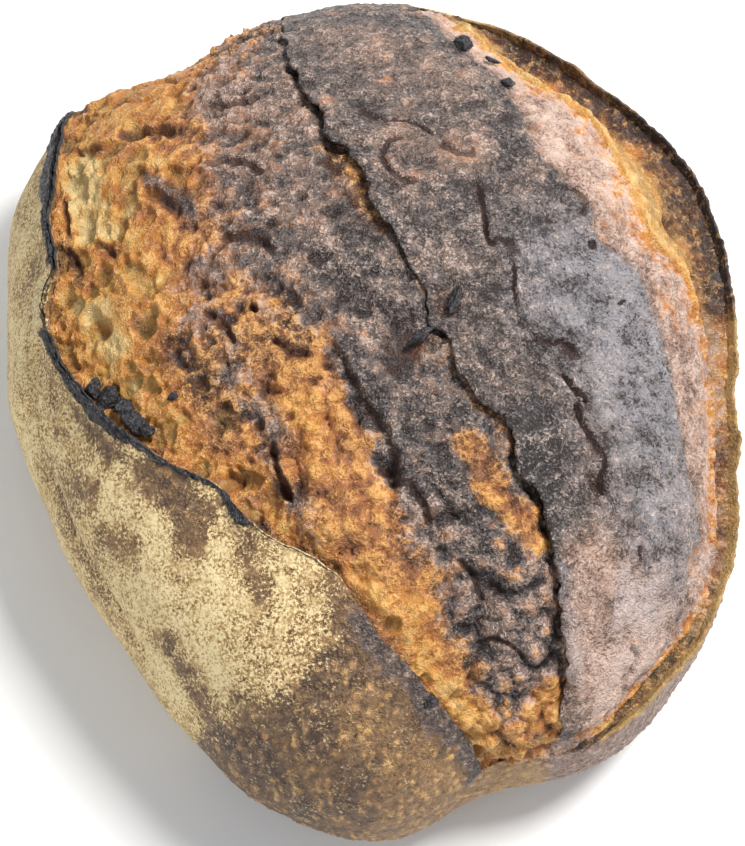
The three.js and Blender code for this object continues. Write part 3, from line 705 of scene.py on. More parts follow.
def plate_relief(st, place):
    """Height over the smooth form, and finish, of the top plate, pink band and crumb wall."""
    grain, fine = Grain(SEEDS["plate"]), Grain(SEEDS["plate cells"])
    tear_along, tear_right = TEAR.beside(st)
    rim_along, rim_right = EAR_RIGHT.beside(st)
    _, line_right = CRUMB_TOP.beside(st)
    _, edge_right = PLATE_SIDE.beside(st)
    wander = grain.layers(place, 9.0, 3, 0.6)
    pink = smooth(-3.5, 4.0, edge_right + 4.5 * wander)
    wall = smooth(-0.8, 1.2, line_right + 1.0 * wander)

    step = steps_of(TEAR_STEP, tear_along)
    height = 0.5 * step * np.exp(-np.maximum(0, tear_right) / 20.0)
    height += 0.22 * step * np.exp(-np.maximum(0, tear_right) / 2.5) * (0.5 + 0.5 * wander)
    ends = fade(rim_along, 0.08, 0.08)
    line_gap, rim_gap = np.abs(line_right), np.abs(rim_right)
    across = line_gap / (line_gap + rim_gap + 1e-6)
    in_wall = (line_right > 0) & (rim_right < 0)
    groove = -6.0 * ends * np.sin(np.pi * np.clip(across, 0, 1) ** 1.5) ** 0.8
    height += np.where(in_wall, groove, 0.0)
    height += np.where(line_right <= 0, -1.2 * ends * smooth(8, 0, line_gap), 0.0)
    edge_lip = 0.6 * np.tanh(-edge_right / 0.7) * np.exp(-np.abs(edge_right) / 10.0)
    height += edge_lip
    height += lumps(BUBBLES, 1, st) + lumps(PITS, -1, st) + 0.5 * slow_waves(st) - 0.3

    seam_along, seam_right = SEAM.beside(st, 60)
    on_seam = fade(seam_along, 0.05, 0.05)
    height += 0.9 * on_seam * np.tanh(seam_right / 0.4) * np.exp(-np.abs(seam_right) / 6.0)
    crumbly = grain.layers(place, 4.2, 4, 0.66)
    pebble_first, pebble_sort = fine.cells(st, 1.9)
    pebbles = smooth(0.55, 0.1, pebble_first) * smooth(0.35, 0.8, pebble_sort)
    blister_first, blister_sort = fine.cells(st + 40, 5.2)
    blisters = smooth(0.42, 0.05, blister_first) * smooth(0.55, 0.75, blister_sort)
    wrinkles = grain.ridges(place * np.array([1.0, 0.55, 1.0]) + 2.5 * wander[..., None], 5.5, 4, 0.6)
    calm = 1.5 * grain.layers(place, 9.0, 5, 0.64) + 0.5 * wrinkles + 0.45 * blisters + 0.2 * pebbles
    band = 1.2 * grain.layers(place, 6.0, 4, 0.68) + 0.4 * pebbles + 0.5 * blisters
    torn = 1.8 * crumbly + 0.8 * grain.ridges(place * np.array([1.0, 0.6, 1.0]), 3.2, 4, 0.62)
    texture = mix(mix(calm, band, pink), torn, wall)
    height += texture - 1.0

    tuck = outside_opening(st)
    height -= 0.30 * tuck + 0.10 * tuck ** 2 + smooth(0, 2, tuck)

    finish = blank_finish(st.shape[:-1])
    blotch = smooth(0.10, 0.42, grain.layers(place + 300, 7.5, 4, 0.62)) * smooth(20, 60, st[..., 1])
    dark = 0.83 + 0.22 * grain.layers(place + 90, 18.0, 4, 0.6) - 0.16 * grain.layers(place, 9.0, 5, 0.62)
    dark -= 0.30 * blotch + 0.10 * smooth(-30, -90, st[..., 1])
    near_side = smooth(-15, -55, st[..., 1]) * smooth(6, 28, seam_right + 6 * wander)
    dark -= 0.26 * near_side
    line_gold = np.exp(-line_gap / 6.0)
    rosy = 0.42 - 0.10 * smooth(10, 60, st[..., 1]) + 0.30 * grain.layers(place + 60, 9.0, 4, 0.66)
    rosy = rosy - 0.10 * pebbles - 0.12 * line_gold
    # The crumb wall darkens towards the right ear's inner face, partly from its caramelised crust and partly
    # from painted shade under the ear; it is lighter on its raised grain, as painted highlight.
    inner_ear = smooth(0.42, 1.0, across + 0.40 * wander + 0.30 * crumbly) * smooth(0.47, 0.42, rim_along)
    dulled = smooth(0.38, 0.46, rim_along) * smooth(0.98, 0.80, rim_along)
    crumb = 0.12 + 0.12 * smooth(0.02, 0.3, across) + 0.78 * inner_ear - 0.30 * crumbly
    crumb += 0.20 * dulled + 0.22 * smooth(0.5, 0.6, rim_along) * smooth(0.15, 0.5, across)
    crumb += 0.36 * smooth(0.78, 0.9, rim_along) * smooth(0.10, 0.4, across)
    finish["khaki"] = wall * smooth(0.04, 0.30, across + 0.2 * wander) * (1 - 0.8 * inner_ear)
    finish["khaki"] *= 0.62 + 0.9 * wander
    finish["khaki"] *= 1 - 0.45 * smooth(0.45, 0.6, rim_along)
    # Painted sheen, a bluish-grey reflection, on the smooth side of the top plate right of the seam.
    far_limit = smooth(60, 30, st[..., 1] - 0.3 * st[..., 0] + 26)
    finish["lilac_sheen"] = smooth(-12, 26, seam_right + 14 * wander) * far_limit
    mottled = grain.layers(place + 400, 9.0, 4, 0.68)
    mottling = np.clip(0.90 - 0.34 * near_side + 0.6 * wander + 0.6 * mottled, 0, 1.1)
    finish["lilac_sheen"] *= smooth(-100, -70, st[..., 1]) * (1 - pink) * mottling
    # Painted shade on the inner face of the right ear.
    hollow_out(finish, 0.22 * inner_ear * wall)
    finish["plate"] += 0.92 + 0.5 * grain.layers(place + 20, 13.0, 4, 0.62) - 0.30 * blotch
    finish["bake"] = dark
    finish["shine"] += 0.45
    patch(finish, PLATE_PATCHES, st, place)
    finish["bake"] = mix(mix(finish["bake"], rosy, pink), crumb, wall)
    pink_plate = 0.80 - 0.40 * line_gold + 0.7 * grain.layers(place + 80, 7.0, 4, 0.66)
    finish["plate"] = mix(finish["plate"], pink_plate, pink)
    finish["plate"] = mix(finish["plate"], 0.72 * dulled - 0.3, wall)
    finish["bake"] += 0.16 * np.exp(-np.abs(edge_right + 1.0) / 1.4) * (1 - wall)
    finish["bake"] += 0.10 * np.exp(-np.maximum(0, tear_right) / 2.0) * smooth(1, 3, step)
    finish["relief"] = np.clip(mix(mix(calm / 0.9, band / 0.8, pink), torn / 1.6, wall), -1, 1)
    # Painted shade in the pits.
    for s, t, radius, size in PITS:
        q = from_spot(st, s, t, radius)
        hollow_out(finish, 0.9 * np.exp(-2.2 * q * q))
    crack_relief(finish, st, height, CRACKS)
    return height, finish


def skin_relief(st, place):
    """Height over the smooth form, and finish, of the smooth skin below the ears."""
    grain, fine = Grain(SEEDS["skin"]), Grain(SEEDS["skin cells"])
    _, ear_right, depth = left_hollow(st)
    length = np.hypot(st[..., 0], st[..., 1])
    side = smooth(BASE_WALK, BASE_WALK - 30, length)
    _, flour_right = FLOUR_SIDE.beside(st)
    _, wall_right = WALL_START.beside(st)
    split_along, split_right = SKIN_SPLIT.beside(st, 30)
    foot_along, foot_right = FOOT_FOLD.beside(st, 30)
    wander = grain.layers(place, 12.0, 3, 0.6)

    height = np.where(ear_right <= 0, 0.35 * depth * smooth(14, 0, -ear_right), 0.0)
    height += 0.5 * slow_waves(st) + 0.35 * grain.layers(place, 16.0, 3)
    height -= 2.2 * fade(split_along, 0.15, 0.15) * np.exp(-(split_right / 2.6) ** 2)
    height -= 1.8 * fade(foot_along, 0.15, 0.15) * np.exp(-(foot_right / 4.0) ** 2)

    near = smooth(-40, -75, st[..., 1] + 0.35 * st[..., 0])
    bare = smooth(-8, 5, flour_right + 8.0 * wander) * near
    rosy = smooth(-6, 8, wall_right + 6.0 * wander) * smooth(-20, -70, st[..., 1])
    rosy = np.maximum(rosy, smooth(45, 105, st[..., 0] + 16.0 * wander))
    back = smooth(90, 140, st[..., 1])
    blister_first, blister_sort = fine.cells(st, 3.0)
    blisters = smooth(0.5, 0.1, blister_first) * smooth(0.45, 0.7, blister_sort)
    blistered = np.clip(bare + rosy, 0, 1)
    height += blistered * (0.45 * blisters + 0.25 * grain.layers(place, 3.0, 3))
    height += (1 - blistered) * 0.16 * grain.layers(place, 3.4, 3) - 0.8

    finish = blank_finish(st.shape[:-1])
    rings = np.sin(np.hypot(st[..., 0] + 70, st[..., 1] + 20) / 1.35 + 2.5 * wander)
    lighter = smooth(-30, 50, st[..., 0])
    finish["bake"] = mix(0.58 + 0.08 * wander, 0.72 - 0.30 * lighter + 0.20 * wander - 0.20 * blisters, bare)
    finish["bake"] = mix(finish["bake"], 0.40 + 0.12 * wander - 0.08 * blisters, rosy)
    finish["plate"] = mix(-0.4 * np.ones_like(length), 0.05, bare)
    finish["plate"] = mix(finish["plate"], 0.9, rosy)
    dusty = 0.66 + 0.18 * smooth(2, 22, -ear_right) + 0.45 * wander + 0.06 * rings
    dusty += 0.40 * grain.layers(place + 500, 30.0, 3, 0.6)
    finish["flour"] = mix(dusty, 0.24 - 0.2 * lighter + 0.25 * wander, bare)
    finish["flour"] = mix(finish["flour"], 0.05, rosy)
    finish["flour"] = mix(finish["flour"], 0.45 + 0.25 * wander, back)
    patch(finish, SKIN_PATCHES, st, place)
    # Painted shade in the skin's crack and in the crease above the foot.
    hollow_out(finish, 0.8 * smooth(2.0, 0.3, np.abs(split_right)) * fade(split_along, 0.1, 0.1))
    hollow_out(finish, 0.5 * smooth(2.5, 0.3, np.abs(foot_right)) * fade(foot_along, 0.15, 0.15))
    finish["relief"] = np.clip(blistered * (blisters - 0.2), -1, 1)
    under = smooth(BASE_WALK - 8, BASE_WALK + 4, length)
    finish["flour"] = mix(finish["flour"], 0.35 + 0.2 * wander, under)
    finish["bake"] = mix(finish["bake"], 0.58, under)
    return height * side, finish


# ---------------------------------------------------------------------------------------------
# Mesh tools
# ---------------------------------------------------------------------------------------------

def put_down():
    """Leaves edit mode with nothing selected."""
    if bpy.context.object is not None and bpy.context.object.mode != "OBJECT":
        bpy.ops.object.mode_set(mode="OBJECT")
    bpy.ops.object.select_all(action="DESELECT")


def take_new(name):
    """Names the object that was just added."""
    piece = bpy.context.object
    piece.name = name
    piece.data.name = name
    return piece


def coordinates(piece):
    """The piece's vertices, in metres, as rows."""
    flat = np.empty(len(piece.data.vertices) * 3)
    piece.data.vertices.foreach_get("co", flat)
    return flat.reshape(-1, 3)


def place_vertices(piece, millimetres):
    """Moves every vertex of the piece."""
    piece.data.vertices.foreach_set("co", (millimetres * MM).ravel())
    piece.data.update()


def store(piece, finish):
    """Keeps the finish on the vertices, for the material to read."""
    for name, values in finish.items():
        layer = piece.data.attributes.new(name, "FLOAT", "POINT")
        layer.data.foreach_set("value", np.ascontiguousarray(values, dtype=np.float32))


def grid_piece(name, columns, rows):
    """A flat grid, and the column and row of each of its vertices."""
    put_down()
    bpy.ops.mesh.primitive_grid_add(x_subdivisions=columns - 1, y_subdivisions=rows - 1, size=2)
    piece = take_new(name)
    flat = coordinates(piece)
    column = np.rint((flat[:, 0] + 1) / 2 * (columns - 1)).astype(int)
    row = np.rint((flat[:, 1] + 1) / 2 * (rows - 1)).astype(int)
    return piece, column, row


def face_outwards():
    """Turns all faces of the mesh in edit mode outwards, and leaves edit mode."""
    bpy.ops.mesh.select_all(action="SELECT")
    bpy.ops.mesh.normals_make_consistent(inside=False)
    bpy.ops.object.mode_set(mode="OBJECT")


def close_below(piece, height):
    """Draws the open border down to a flat underside inside the loaf."""
    count = len(piece.data.vertices)
    bpy.ops.object.mode_set(mode="EDIT")
    bpy.ops.mesh.select_mode(type="EDGE")
    bpy.ops.mesh.select_all(action="DESELECT")
    bpy.ops.mesh.select_non_manifold()
    bpy.ops.mesh.extrude_edges_move()
    bpy.ops.object.mode_set(mode="OBJECT")
    flat = coordinates(piece)
    middle = flat[:count].mean(0)
    flat[count:, :2] = middle[:2] + (flat[count:, :2] - middle[:2]) * BURIED_SHRINK
    flat[count:, 2] = height * MM
    place_vertices(piece, flat / MM)
    bpy.ops.object.mode_set(mode="EDIT")
    bpy.ops.mesh.select_all(action="DESELECT")
    bpy.ops.mesh.select_non_manifold()
    bpy.ops.mesh.edge_face_add()
    face_outwards()


def finish_piece(piece, material):
    """Gives the piece its material, its body, and its place in the part."""
    bpy.ops.object.shade_smooth()
    piece.data.materials.append(material)
    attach(piece, "root")
    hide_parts(NODE)


def lengthened(curve, first, last):
    """A line carried straight on past both its ends."""
    sighted = min(END_SIGHT, len(curve))
    start, end = curve[0] - curve[min(END_SIGHT, len(curve) - 1)], curve[-1] - curve[-sighted]
    start, end = start / np.linalg.norm(start), end / np.linalg.norm(end)
    head = curve[0] + start * np.linspace(first, 0.5, max(2, int(first)))[:, None]
    tail = curve[-1] + end * np.linspace(0.5, last, max(2, int(last)))[:, None]
    return np.vstack([head, curve, tail])


def loft(left, right, rows, across_shares):
    """Places between two lines; across_shares may pass 0 and 1 to reach beyond them."""
    a = along_points(lengthened(left, *LOFT_BEYOND), rows)
    b = along_points(lengthened(right, *LOFT_BEYOND), rows)
    return a[None] + (b - a)[None] * across_shares[:, None, None]


# ---------------------------------------------------------------------------------------------
# Shader maths
# ---------------------------------------------------------------------------------------------

class Value:
    """A number from a node's socket; Python's operators add the Math nodes."""

    def __init__(self, bench, socket):
        self.bench, self.socket = bench, socket

    def _maths(self, operation, *values):
        return self.bench.node("ShaderNodeMath", {"operation": operation}, dict(enumerate(values)))

    def __add__(self, other):
        return self._maths("ADD", self, other)

    def __radd__(self, other):
        return self._maths("ADD", other, self)

    def __sub__(self, other):
        return self._maths("SUBTRACT", self, other)

    def __rsub__(self, other):
        return self._maths("SUBTRACT", other, self)

    def __mul__(self, other):
        return self._maths("MULTIPLY", self, other)

    def __rmul__(self, other):
        return self._maths("MULTIPLY", other, self)

    def smooth(self, start, end):
        return self.bench.node(
            "ShaderNodeMapRange", {"interpolation_type": "SMOOTHSTEP"},
            {"Value": self, "From Min": start, "From Max": end})

    def absolute(self):
        return self._maths("ABSOLUTE", self)

    def clamp(self):
        return self.bench.node("ShaderNodeClamp", {}, {"Value": self})


class Bench:
    """Builds one material's nodes."""

    def __init__(self, name):
        self.material = bpy.data.materials.new(name)
        self.material.use_nodes = True
        self.tree = self.material.node_tree
        self.tree.nodes.clear()

    def node(self, kind, settings, inputs, output=0):
        """Adds a node, makes its settings, fills or links its inputs, and returns one output."""
        node = self.tree.nodes.new(kind)
        for key, setting in settings.items():
            if key == "stops":
                self._stops(node.color_ramp, setting)
            else:
                setattr(node, key, setting)
        for key, value in inputs.items():
            if isinstance(value, Value):
                self.tree.links.new(value.socket, node.inputs[key])
            else:
                node.inputs[key].default_value = value
        return Value(self, node.outputs[output]) if len(node.outputs) else None

    @staticmethod
    def _stops(ramp, stops):
        while len(ramp.elements) > 1:
            ramp.elements.remove(ramp.elements[-1])
        for index, (position, colour) in enumerate(stops):
            stop = ramp.elements[0] if index == 0 else ramp.elements.new(position)
            stop.position = position
            stop.color = (*colour[:3], 1.0)

    def place(self):
        """Places in the piece's own metres."""
        return self.node("ShaderNodeTexCoord", {}, {}, "Object")

    def finish(self, name):
        """A finish that the piece's vertices carry."""
        return self.node("ShaderNodeAttribute", {"attribute_name": name}, {}, "Fac")

    def noise(self, place, millimetres, detail=2.0, rough=0.55, distortion=0.0):
        return self.node("ShaderNodeTexNoise", {}, {
            "Vector": place, "Scale": 1.0 / (millimetres * MM), "Detail": detail, "Roughness": rough,
            "Distortion": distortion})

    def blend(self, factor, a, b):
        """A colour between a and b; the sockets are the Mix node's factor and two colours."""
        return self.node("ShaderNodeMix", {"data_type": "RGBA"}, {0: factor, 6: a, 7: b}, 2)


def rgb(red, green, blue):
    """A colour given as it looks, 0 to 255, for a linear colour socket."""
    seen = [c / 255 for c in (red, green, blue)]
    return tuple(c / 12.92 if c <= 0.04045 else ((c + 0.055) / 1.055) ** 2.4 for c in seen)


# Sizes, in millimetres, of the grain that the crust material adds to the finish.
GRAIN = {"broad": 10.0, "middle": 3.0, "gather": 4.5, "fine": 0.85, "fibre": 2.0, "strand": 6.0, "painted_glint": 0.7}


def crust_material(name, look, fine_height, bread):
    """Baked crust: colour by bake, from pale bread to soot, with grain, gloss, flour and char, and with
    painted shade in recesses, painted highlights and glints on raised grain, and painted sheen.
    """
    bench = Bench(name)
    place = bench.place()
    bake, plate, lilac_sheen = bench.finish("bake"), bench.finish("plate"), bench.finish("lilac_sheen")
    flour, char, relief = bench.finish("flour"), bench.finish("char"), bench.finish("relief")
    shine, hollow, khaki = bench.finish("shine"), bench.finish("hollow"), bench.finish("khaki")
    broad = (bench.noise(place, GRAIN["broad"], 2.0, 0.6) - 0.5) * 4.0
    middle = (bench.noise(place, GRAIN["middle"], 2.0, 0.65, 0.5) - 0.5) * 5.0
    gather = ((bench.noise(place, GRAIN["gather"], 1.0, 0.5) - 0.5) * 5.0 + 0.85).clamp()
    fine = (bench.noise(place, GRAIN["fine"], 2.0, 0.8) - 0.5) * (3.0 + gather * 4.0)
    fibre = 1 - ((bench.noise(place, GRAIN["fibre"], 1.0, 0.6, 1.0) - 0.5) * 3.0).absolute()
    strand = 1 - ((bench.noise(place, GRAIN["strand"], 1.0, 0.55, 1.6) - 0.5) * 8.0).absolute()
    thread = fibre.smooth(0.84, 1.0) * 0.6 + strand.smooth(0.66, 1.0)

    torn = (plate + broad * 0.12 + middle * 0.20 + fine * 0.10).smooth(0.28, 0.72)
    # Painted glints: bright specks on the torn crust, kept out of shade.
    painted_glint = bench.noise(place, GRAIN["painted_glint"], 1.0, 0.6).smooth(0.56, 0.70) * torn
    wrinkle = fibre.smooth(0.62, 1.0) * torn
    thread = thread * (1 - torn * 0.85) * (1 - flour.smooth(0.2, 0.5))
    micro = relief * 0.66 + middle * 0.38 + fine * (0.38 + torn * 0.16) + (0.22 - wrinkle * 0.75) * torn
    # The bake level is lighter on raised grain and darker in recesses: painted highlight and shade.
    level = bake + broad * 0.06 - micro * (0.03 + 0.30 * bake)
    crumb = bench.node("ShaderNodeValToRGB", {"stops": bread}, {"Fac": level})
    plates = bench.node("ShaderNodeValToRGB", {"stops": [
        (0.08, look.blush), (0.26, look.rose), (0.42, look.clay), (0.58, look.taupe),
        (0.72, look.ash), (0.86, look.slate), (1.0, look.soot)]}, {"Fac": level})
    crumb = bench.blend((khaki + middle * 0.15).smooth(0.1, 0.9) * 0.8, crumb, (*look.khaki, 1.0))
    colour = bench.blend(torn, crumb, plates)
    # Painted sheen on the smooth side of the top plate, stronger on raised grain.
    colour = bench.blend((lilac_sheen + middle * 0.12 + micro * 0.14).clamp() * 0.60, colour, (*look.lilac_sheen, 1.0))
    # Painted shade: recesses and the shade finish blend the colour towards a dark shade colour, more strongly
    # on darker crust.
    deep = bench.blend(torn, (*look.crumb_hollow_shade, 1.0), (*look.crust_hollow_shade, 1.0))
    painted_highlight = bench.blend(torn, (*look.crumb_highlight, 1.0), (*look.crust_highlight, 1.0))
    strength = (0.08 + bake * 1.15).clamp()
    recess_shade = (0 - micro + hollow * 1.8).smooth(0.10, 1.0) * strength
    colour = bench.blend(recess_shade, colour, deep)
    # Painted highlight on raised grain and fibres, weaker on darker crust.
    raised = (micro + thread * 0.5 - hollow - torn * 0.25).smooth(0.22, 1.15)
    colour = bench.blend(raised * (0.95 - bake * 0.42), colour, painted_highlight)
    # The painted glints are brightest on raised grain.
    glinted = painted_glint * (micro * 0.5 + 0.5).clamp() * (1 - hollow) * 0.40
    colour = bench.blend(glinted, colour, (*look.painted_glint, 1.0))

    powder = (flour + middle * 0.12 + fine * 0.22).smooth(0.32, 0.68)
    dusting = bench.blend((flour * 1.3 + fine * 0.85 + middle * 0.30 - 0.45).clamp(),
                          (*look.flour_shade, 1.0), (*look.flour, 1.0))
    colour = bench.blend(powder * 0.96, colour, dusting)
    # Burnt parts are soot black, with a painted bluish sheen on their raised grain.
    burnt = (char + fine * 0.15).smooth(0.3, 0.7)
    soot = bench.blend((micro * 0.6 + 0.25).clamp(), (*look.soot, 1.0), (*look.painted_char_sheen, 1.0))
    colour = bench.blend(burnt, colour, soot)

    height = (fine * 0.20 + middle * 0.12 + thread * 0.12 - wrinkle * 0.22) * (1 - powder * 0.6)
    bump = bench.node("ShaderNodeBump", {}, {"Strength": 1.0, "Distance": fine_height * MM, "Height": height})
    rough = 0.52 - shine * 0.26 + powder * 0.42 + hollow * 0.2
    shader = bench.node("ShaderNodeBsdfPrincipled", {}, {
        "Base Color": colour, "Roughness": rough.clamp(), "Normal": bump, "Specular IOR Level": 0.5})
    bench.node("ShaderNodeOutputMaterial", {}, {"Surface": shader})
    return bench.material


# ---------------------------------------------------------------------------------------------
# Sizes and colours that a user would change
# ---------------------------------------------------------------------------------------------

def colour_prop(name, description, *shade):
    """A colour for the sidebar, from how it looks, 0 to 255."""
    return FloatVectorProperty(
        name=name, description=description, subtype="COLOR", size=3, min=0, max=1, default=rgb(*shade))


def length_prop(name, description, millimetres):
    """A length for the sidebar, in metres, given in millimetres."""
    return FloatProperty(
        name=name, description=description, subtype="DISTANCE", unit="LENGTH", min=0,
        default=millimetres * MM)


class LoafSizes(bpy.types.PropertyGroup):
    """Sizes of the loaf's dressing."""
    lip_rise: length_prop("Burnt lip", "How far the left ear stands over the skin", 2.6)
    rim_rise: length_prop("Right rim", "How far the thin right ear stands over the skin", 2.4)
    fine_height: length_prop("Fine relief", "Height of the finest grain of the crust", 0.9)


class LoafColours(bpy.types.PropertyGroup):
    """Colours of the crust, from pale crumb to soot."""
    cream: colour_prop("Cream", "Palest torn crumb", 210, 183, 126)
    gold: colour_prop("Gold", "Golden crumb", 198, 147, 74)
    amber: colour_prop("Amber", "Well baked crumb", 178, 114, 48)
    orange: colour_prop("Orange", "Orange crumb", 162, 102, 54)
    brown: colour_prop("Brown", "Brown crust", 134, 86, 52)
    umber: colour_prop("Umber", "Purple brown crust", 98, 63, 37)
    dark_brown: colour_prop("Dark brown", "Darkest brown crust", 66, 44, 38)
    soot: colour_prop("Soot", "Burnt black", 30, 27, 28)
    blush: colour_prop("Blush", "Palest flecks of the pink band", 214, 187, 172)
    rose: colour_prop("Rose", "Pink band", 194, 164, 148)
    clay: colour_prop("Clay", "Pink brown crust", 156, 126, 110)
    taupe: colour_prop("Taupe", "Brown grey crust", 120, 96, 82)
    ash: colour_prop("Ash", "Grey top plate", 96, 81, 73)
    slate: colour_prop("Slate", "Blue grey top plate", 72, 65, 63)
    # Colour of the painted sheen, a bluish-grey reflection, on the smooth side of the top plate.
    lilac_sheen: colour_prop("Lilac", "Smooth lilac side of the top plate", 157, 154, 160)
    khaki: colour_prop("Khaki", "Floors of gas cells, and the crumb wall", 158, 130, 74)
    skin_pale: colour_prop("Pale skin", "Palest skin under the flour", 186, 152, 108)
    skin: colour_prop("Skin", "Skin under the flour", 152, 116, 74)
    skin_brown: colour_prop("Brown skin", "Bare brown skin", 112, 86, 60)
    skin_dark: colour_prop("Dark skin", "Darkest bare skin", 72, 56, 46)
    # Colours of the painted highlight on raised grain and fibres of the crumb and of the dark crust.
    crumb_highlight: colour_prop("Crumb tips", "Rubbed tips and fibres of the crumb", 224, 170, 94)
    crust_highlight: colour_prop("Crust tips", "Rubbed tips of the dark crust", 196, 174, 158)
    # Colour of the painted glints on the dark crust.
    painted_glint: colour_prop("Specks", "Fine bright specks of the dark crust", 190, 182, 178)
    # Colours of the painted shade in hollows, cracks and recesses.
    crumb_hollow_shade: colour_prop("Crumb hollows", "Hollows of the crumb", 78, 43, 22)
    crust_hollow_shade: colour_prop("Crust hollows", "Cracks and hollows of the crust", 50, 32, 27)
    flour: colour_prop("Flour", "Baked flour", 236, 216, 166)
    flour_shade: colour_prop("Flour shade", "Thin baked flour", 160, 122, 70)
    # Colour of the painted sheen on the burnt lip.
    painted_char_sheen: colour_prop("Blue char", "Sheen of the burnt lip", 84, 84, 90)


def sizes():
    """The sizes that the sidebar shows."""
    return bpy.context.scene.loaf_sizes


def look():
    """The colours that the sidebar shows."""
    return bpy.context.scene.loaf_colours


def baked_bread():
    """Shades of the torn pieces, by bake."""
    shades = look()
    return [(0.00, shades.cream), (0.14, shades.gold), (0.28, shades.amber), (0.42, shades.orange),
            (0.57, shades.brown), (0.72, shades.umber), (0.88, shades.dark_brown), (1.0, shades.soot)]


def baked_skin():
    """Shades of the smooth skin, by bake."""
    shades = look()
    return [(0.0, shades.gold), (0.30, shades.skin_pale), (0.50, shades.skin), (0.70, shades.skin_brown),
            (0.86, shades.skin_dark), (1.0, shades.soot)]


def shared_material(name, bread):
    """The material of that name, made at its first use."""
    found = bpy.data.materials.get(name)
    return found or crust_material(name, look(), sizes().fine_height / MM, bread())


# ---------------------------------------------------------------------------------------------
# Pieces
# ---------------------------------------------------------------------------------------------

class LOAF_OT_torn_crumb(bpy.types.Operator):
    """The crumb torn open between the left ear and the long tear"""
    bl_idname = "loaf.torn_crumb"
    bl_label = "Torn crumb"

    def execute(self, context):
        piece, column, row = grid_piece("torn_crumb", CRUMB_COLUMNS, CRUMB_ROWS)
        under_skin, under_plate = (tuck / CRUMB_WIDTH for tuck in CRUMB_TUCKS)
        shares = np.linspace(-under_skin, 1 + under_plate, CRUMB_COLUMNS)
        st = loft(EAR_LEFT.curve, TEAR.curve, CRUMB_ROWS, shares)
        st = st[column, CRUMB_ROWS - 1 - row]
        place = crust_point(st)
        height, finish = crumb_relief(st, place)
        place_vertices(piece, place + crust_normal(st) * height[:, None])
        store(piece, finish)
        close_below(piece, BURIED_HEIGHT)
        finish_piece(piece, shared_material("baked_crust", baked_bread))
        return {"FINISHED"}


class LOAF_OT_top_plate(bpy.types.Operator):
    """The dark top plate, its pink band, and the crumb wall under the right ear"""
    bl_idname = "loaf.top_plate"
    bl_label = "Top plate"

    # The torn edge, from the buried root to the crust: (to the torn side, up) at full step.
    CURL = [(-5.0, -9.0), (-3.0, -4.6), (-0.9, -3.0), (0.1, -2.1),
            (0.7, -1.4), (0.95, -0.8), (0.8, -0.25), (0.4, -0.02)]
    FULL_STEP = 4.5

    def execute(self, context):
        piece, column, row = grid_piece("top_plate", PLATE_COLUMNS, PLATE_ROWS)
        edge = len(self.CURL)
        flat_shares = np.linspace(0.0, 1 + PLATE_TUCK / PLATE_WIDTH, PLATE_COLUMNS - edge)
        shares = np.concatenate([np.zeros(edge), flat_shares])
        st = loft(TEAR.curve, EAR_RIGHT.curve, PLATE_ROWS, shares)
        way = np.gradient(st[0], axis=0)
        way /= np.linalg.norm(way, axis=1, keepdims=True)
        to_torn_side = np.stack([way[:, 1], -way[:, 0]], -1)
        step = steps_of(TEAR_STEP, TEAR.beside(st[0])[0])
        curl = np.clip(step / self.FULL_STEP, 0.12, 1.1)
        nibble = 1 + 0.5 * Grain(SEEDS["plate edge"]).layers(crust_point(st[0]), 2.6, 2)
        for index, (out, up) in enumerate(self.CURL):
            st[index] = st[edge] + to_torn_side * (out * curl * nibble)[:, None]
        st = st[column, PLATE_ROWS - 1 - row]
        place = crust_point(st)
        height, finish = plate_relief(st, place)
        drop = np.array([up for _, up in self.CURL] + [0.0] * (PLATE_COLUMNS - edge))[column]
        level = height.copy()
        edge_height = {r: h for r, h in zip(row[column == edge], height[column == edge])}
        on_curl = column < edge
        level[on_curl] = [edge_height[r] for r in row[on_curl]]
        curl_here = curl[PLATE_ROWS - 1 - row]
        height = np.where(on_curl, level + drop * curl_here, height)
        # Painted shade on the underside of the curled torn edge.
        hollow_out(finish, np.where(on_curl, 0.6 * smooth(0.6, 2.4, -drop), 0))
        place_vertices(piece, place + crust_normal(st) * height[:, None])
        store(piece, finish)
        close_below(piece, BURIED_HEIGHT)
        finish_piece(piece, shared_material("baked_crust", baked_bread))
        return {"FINISHED"}


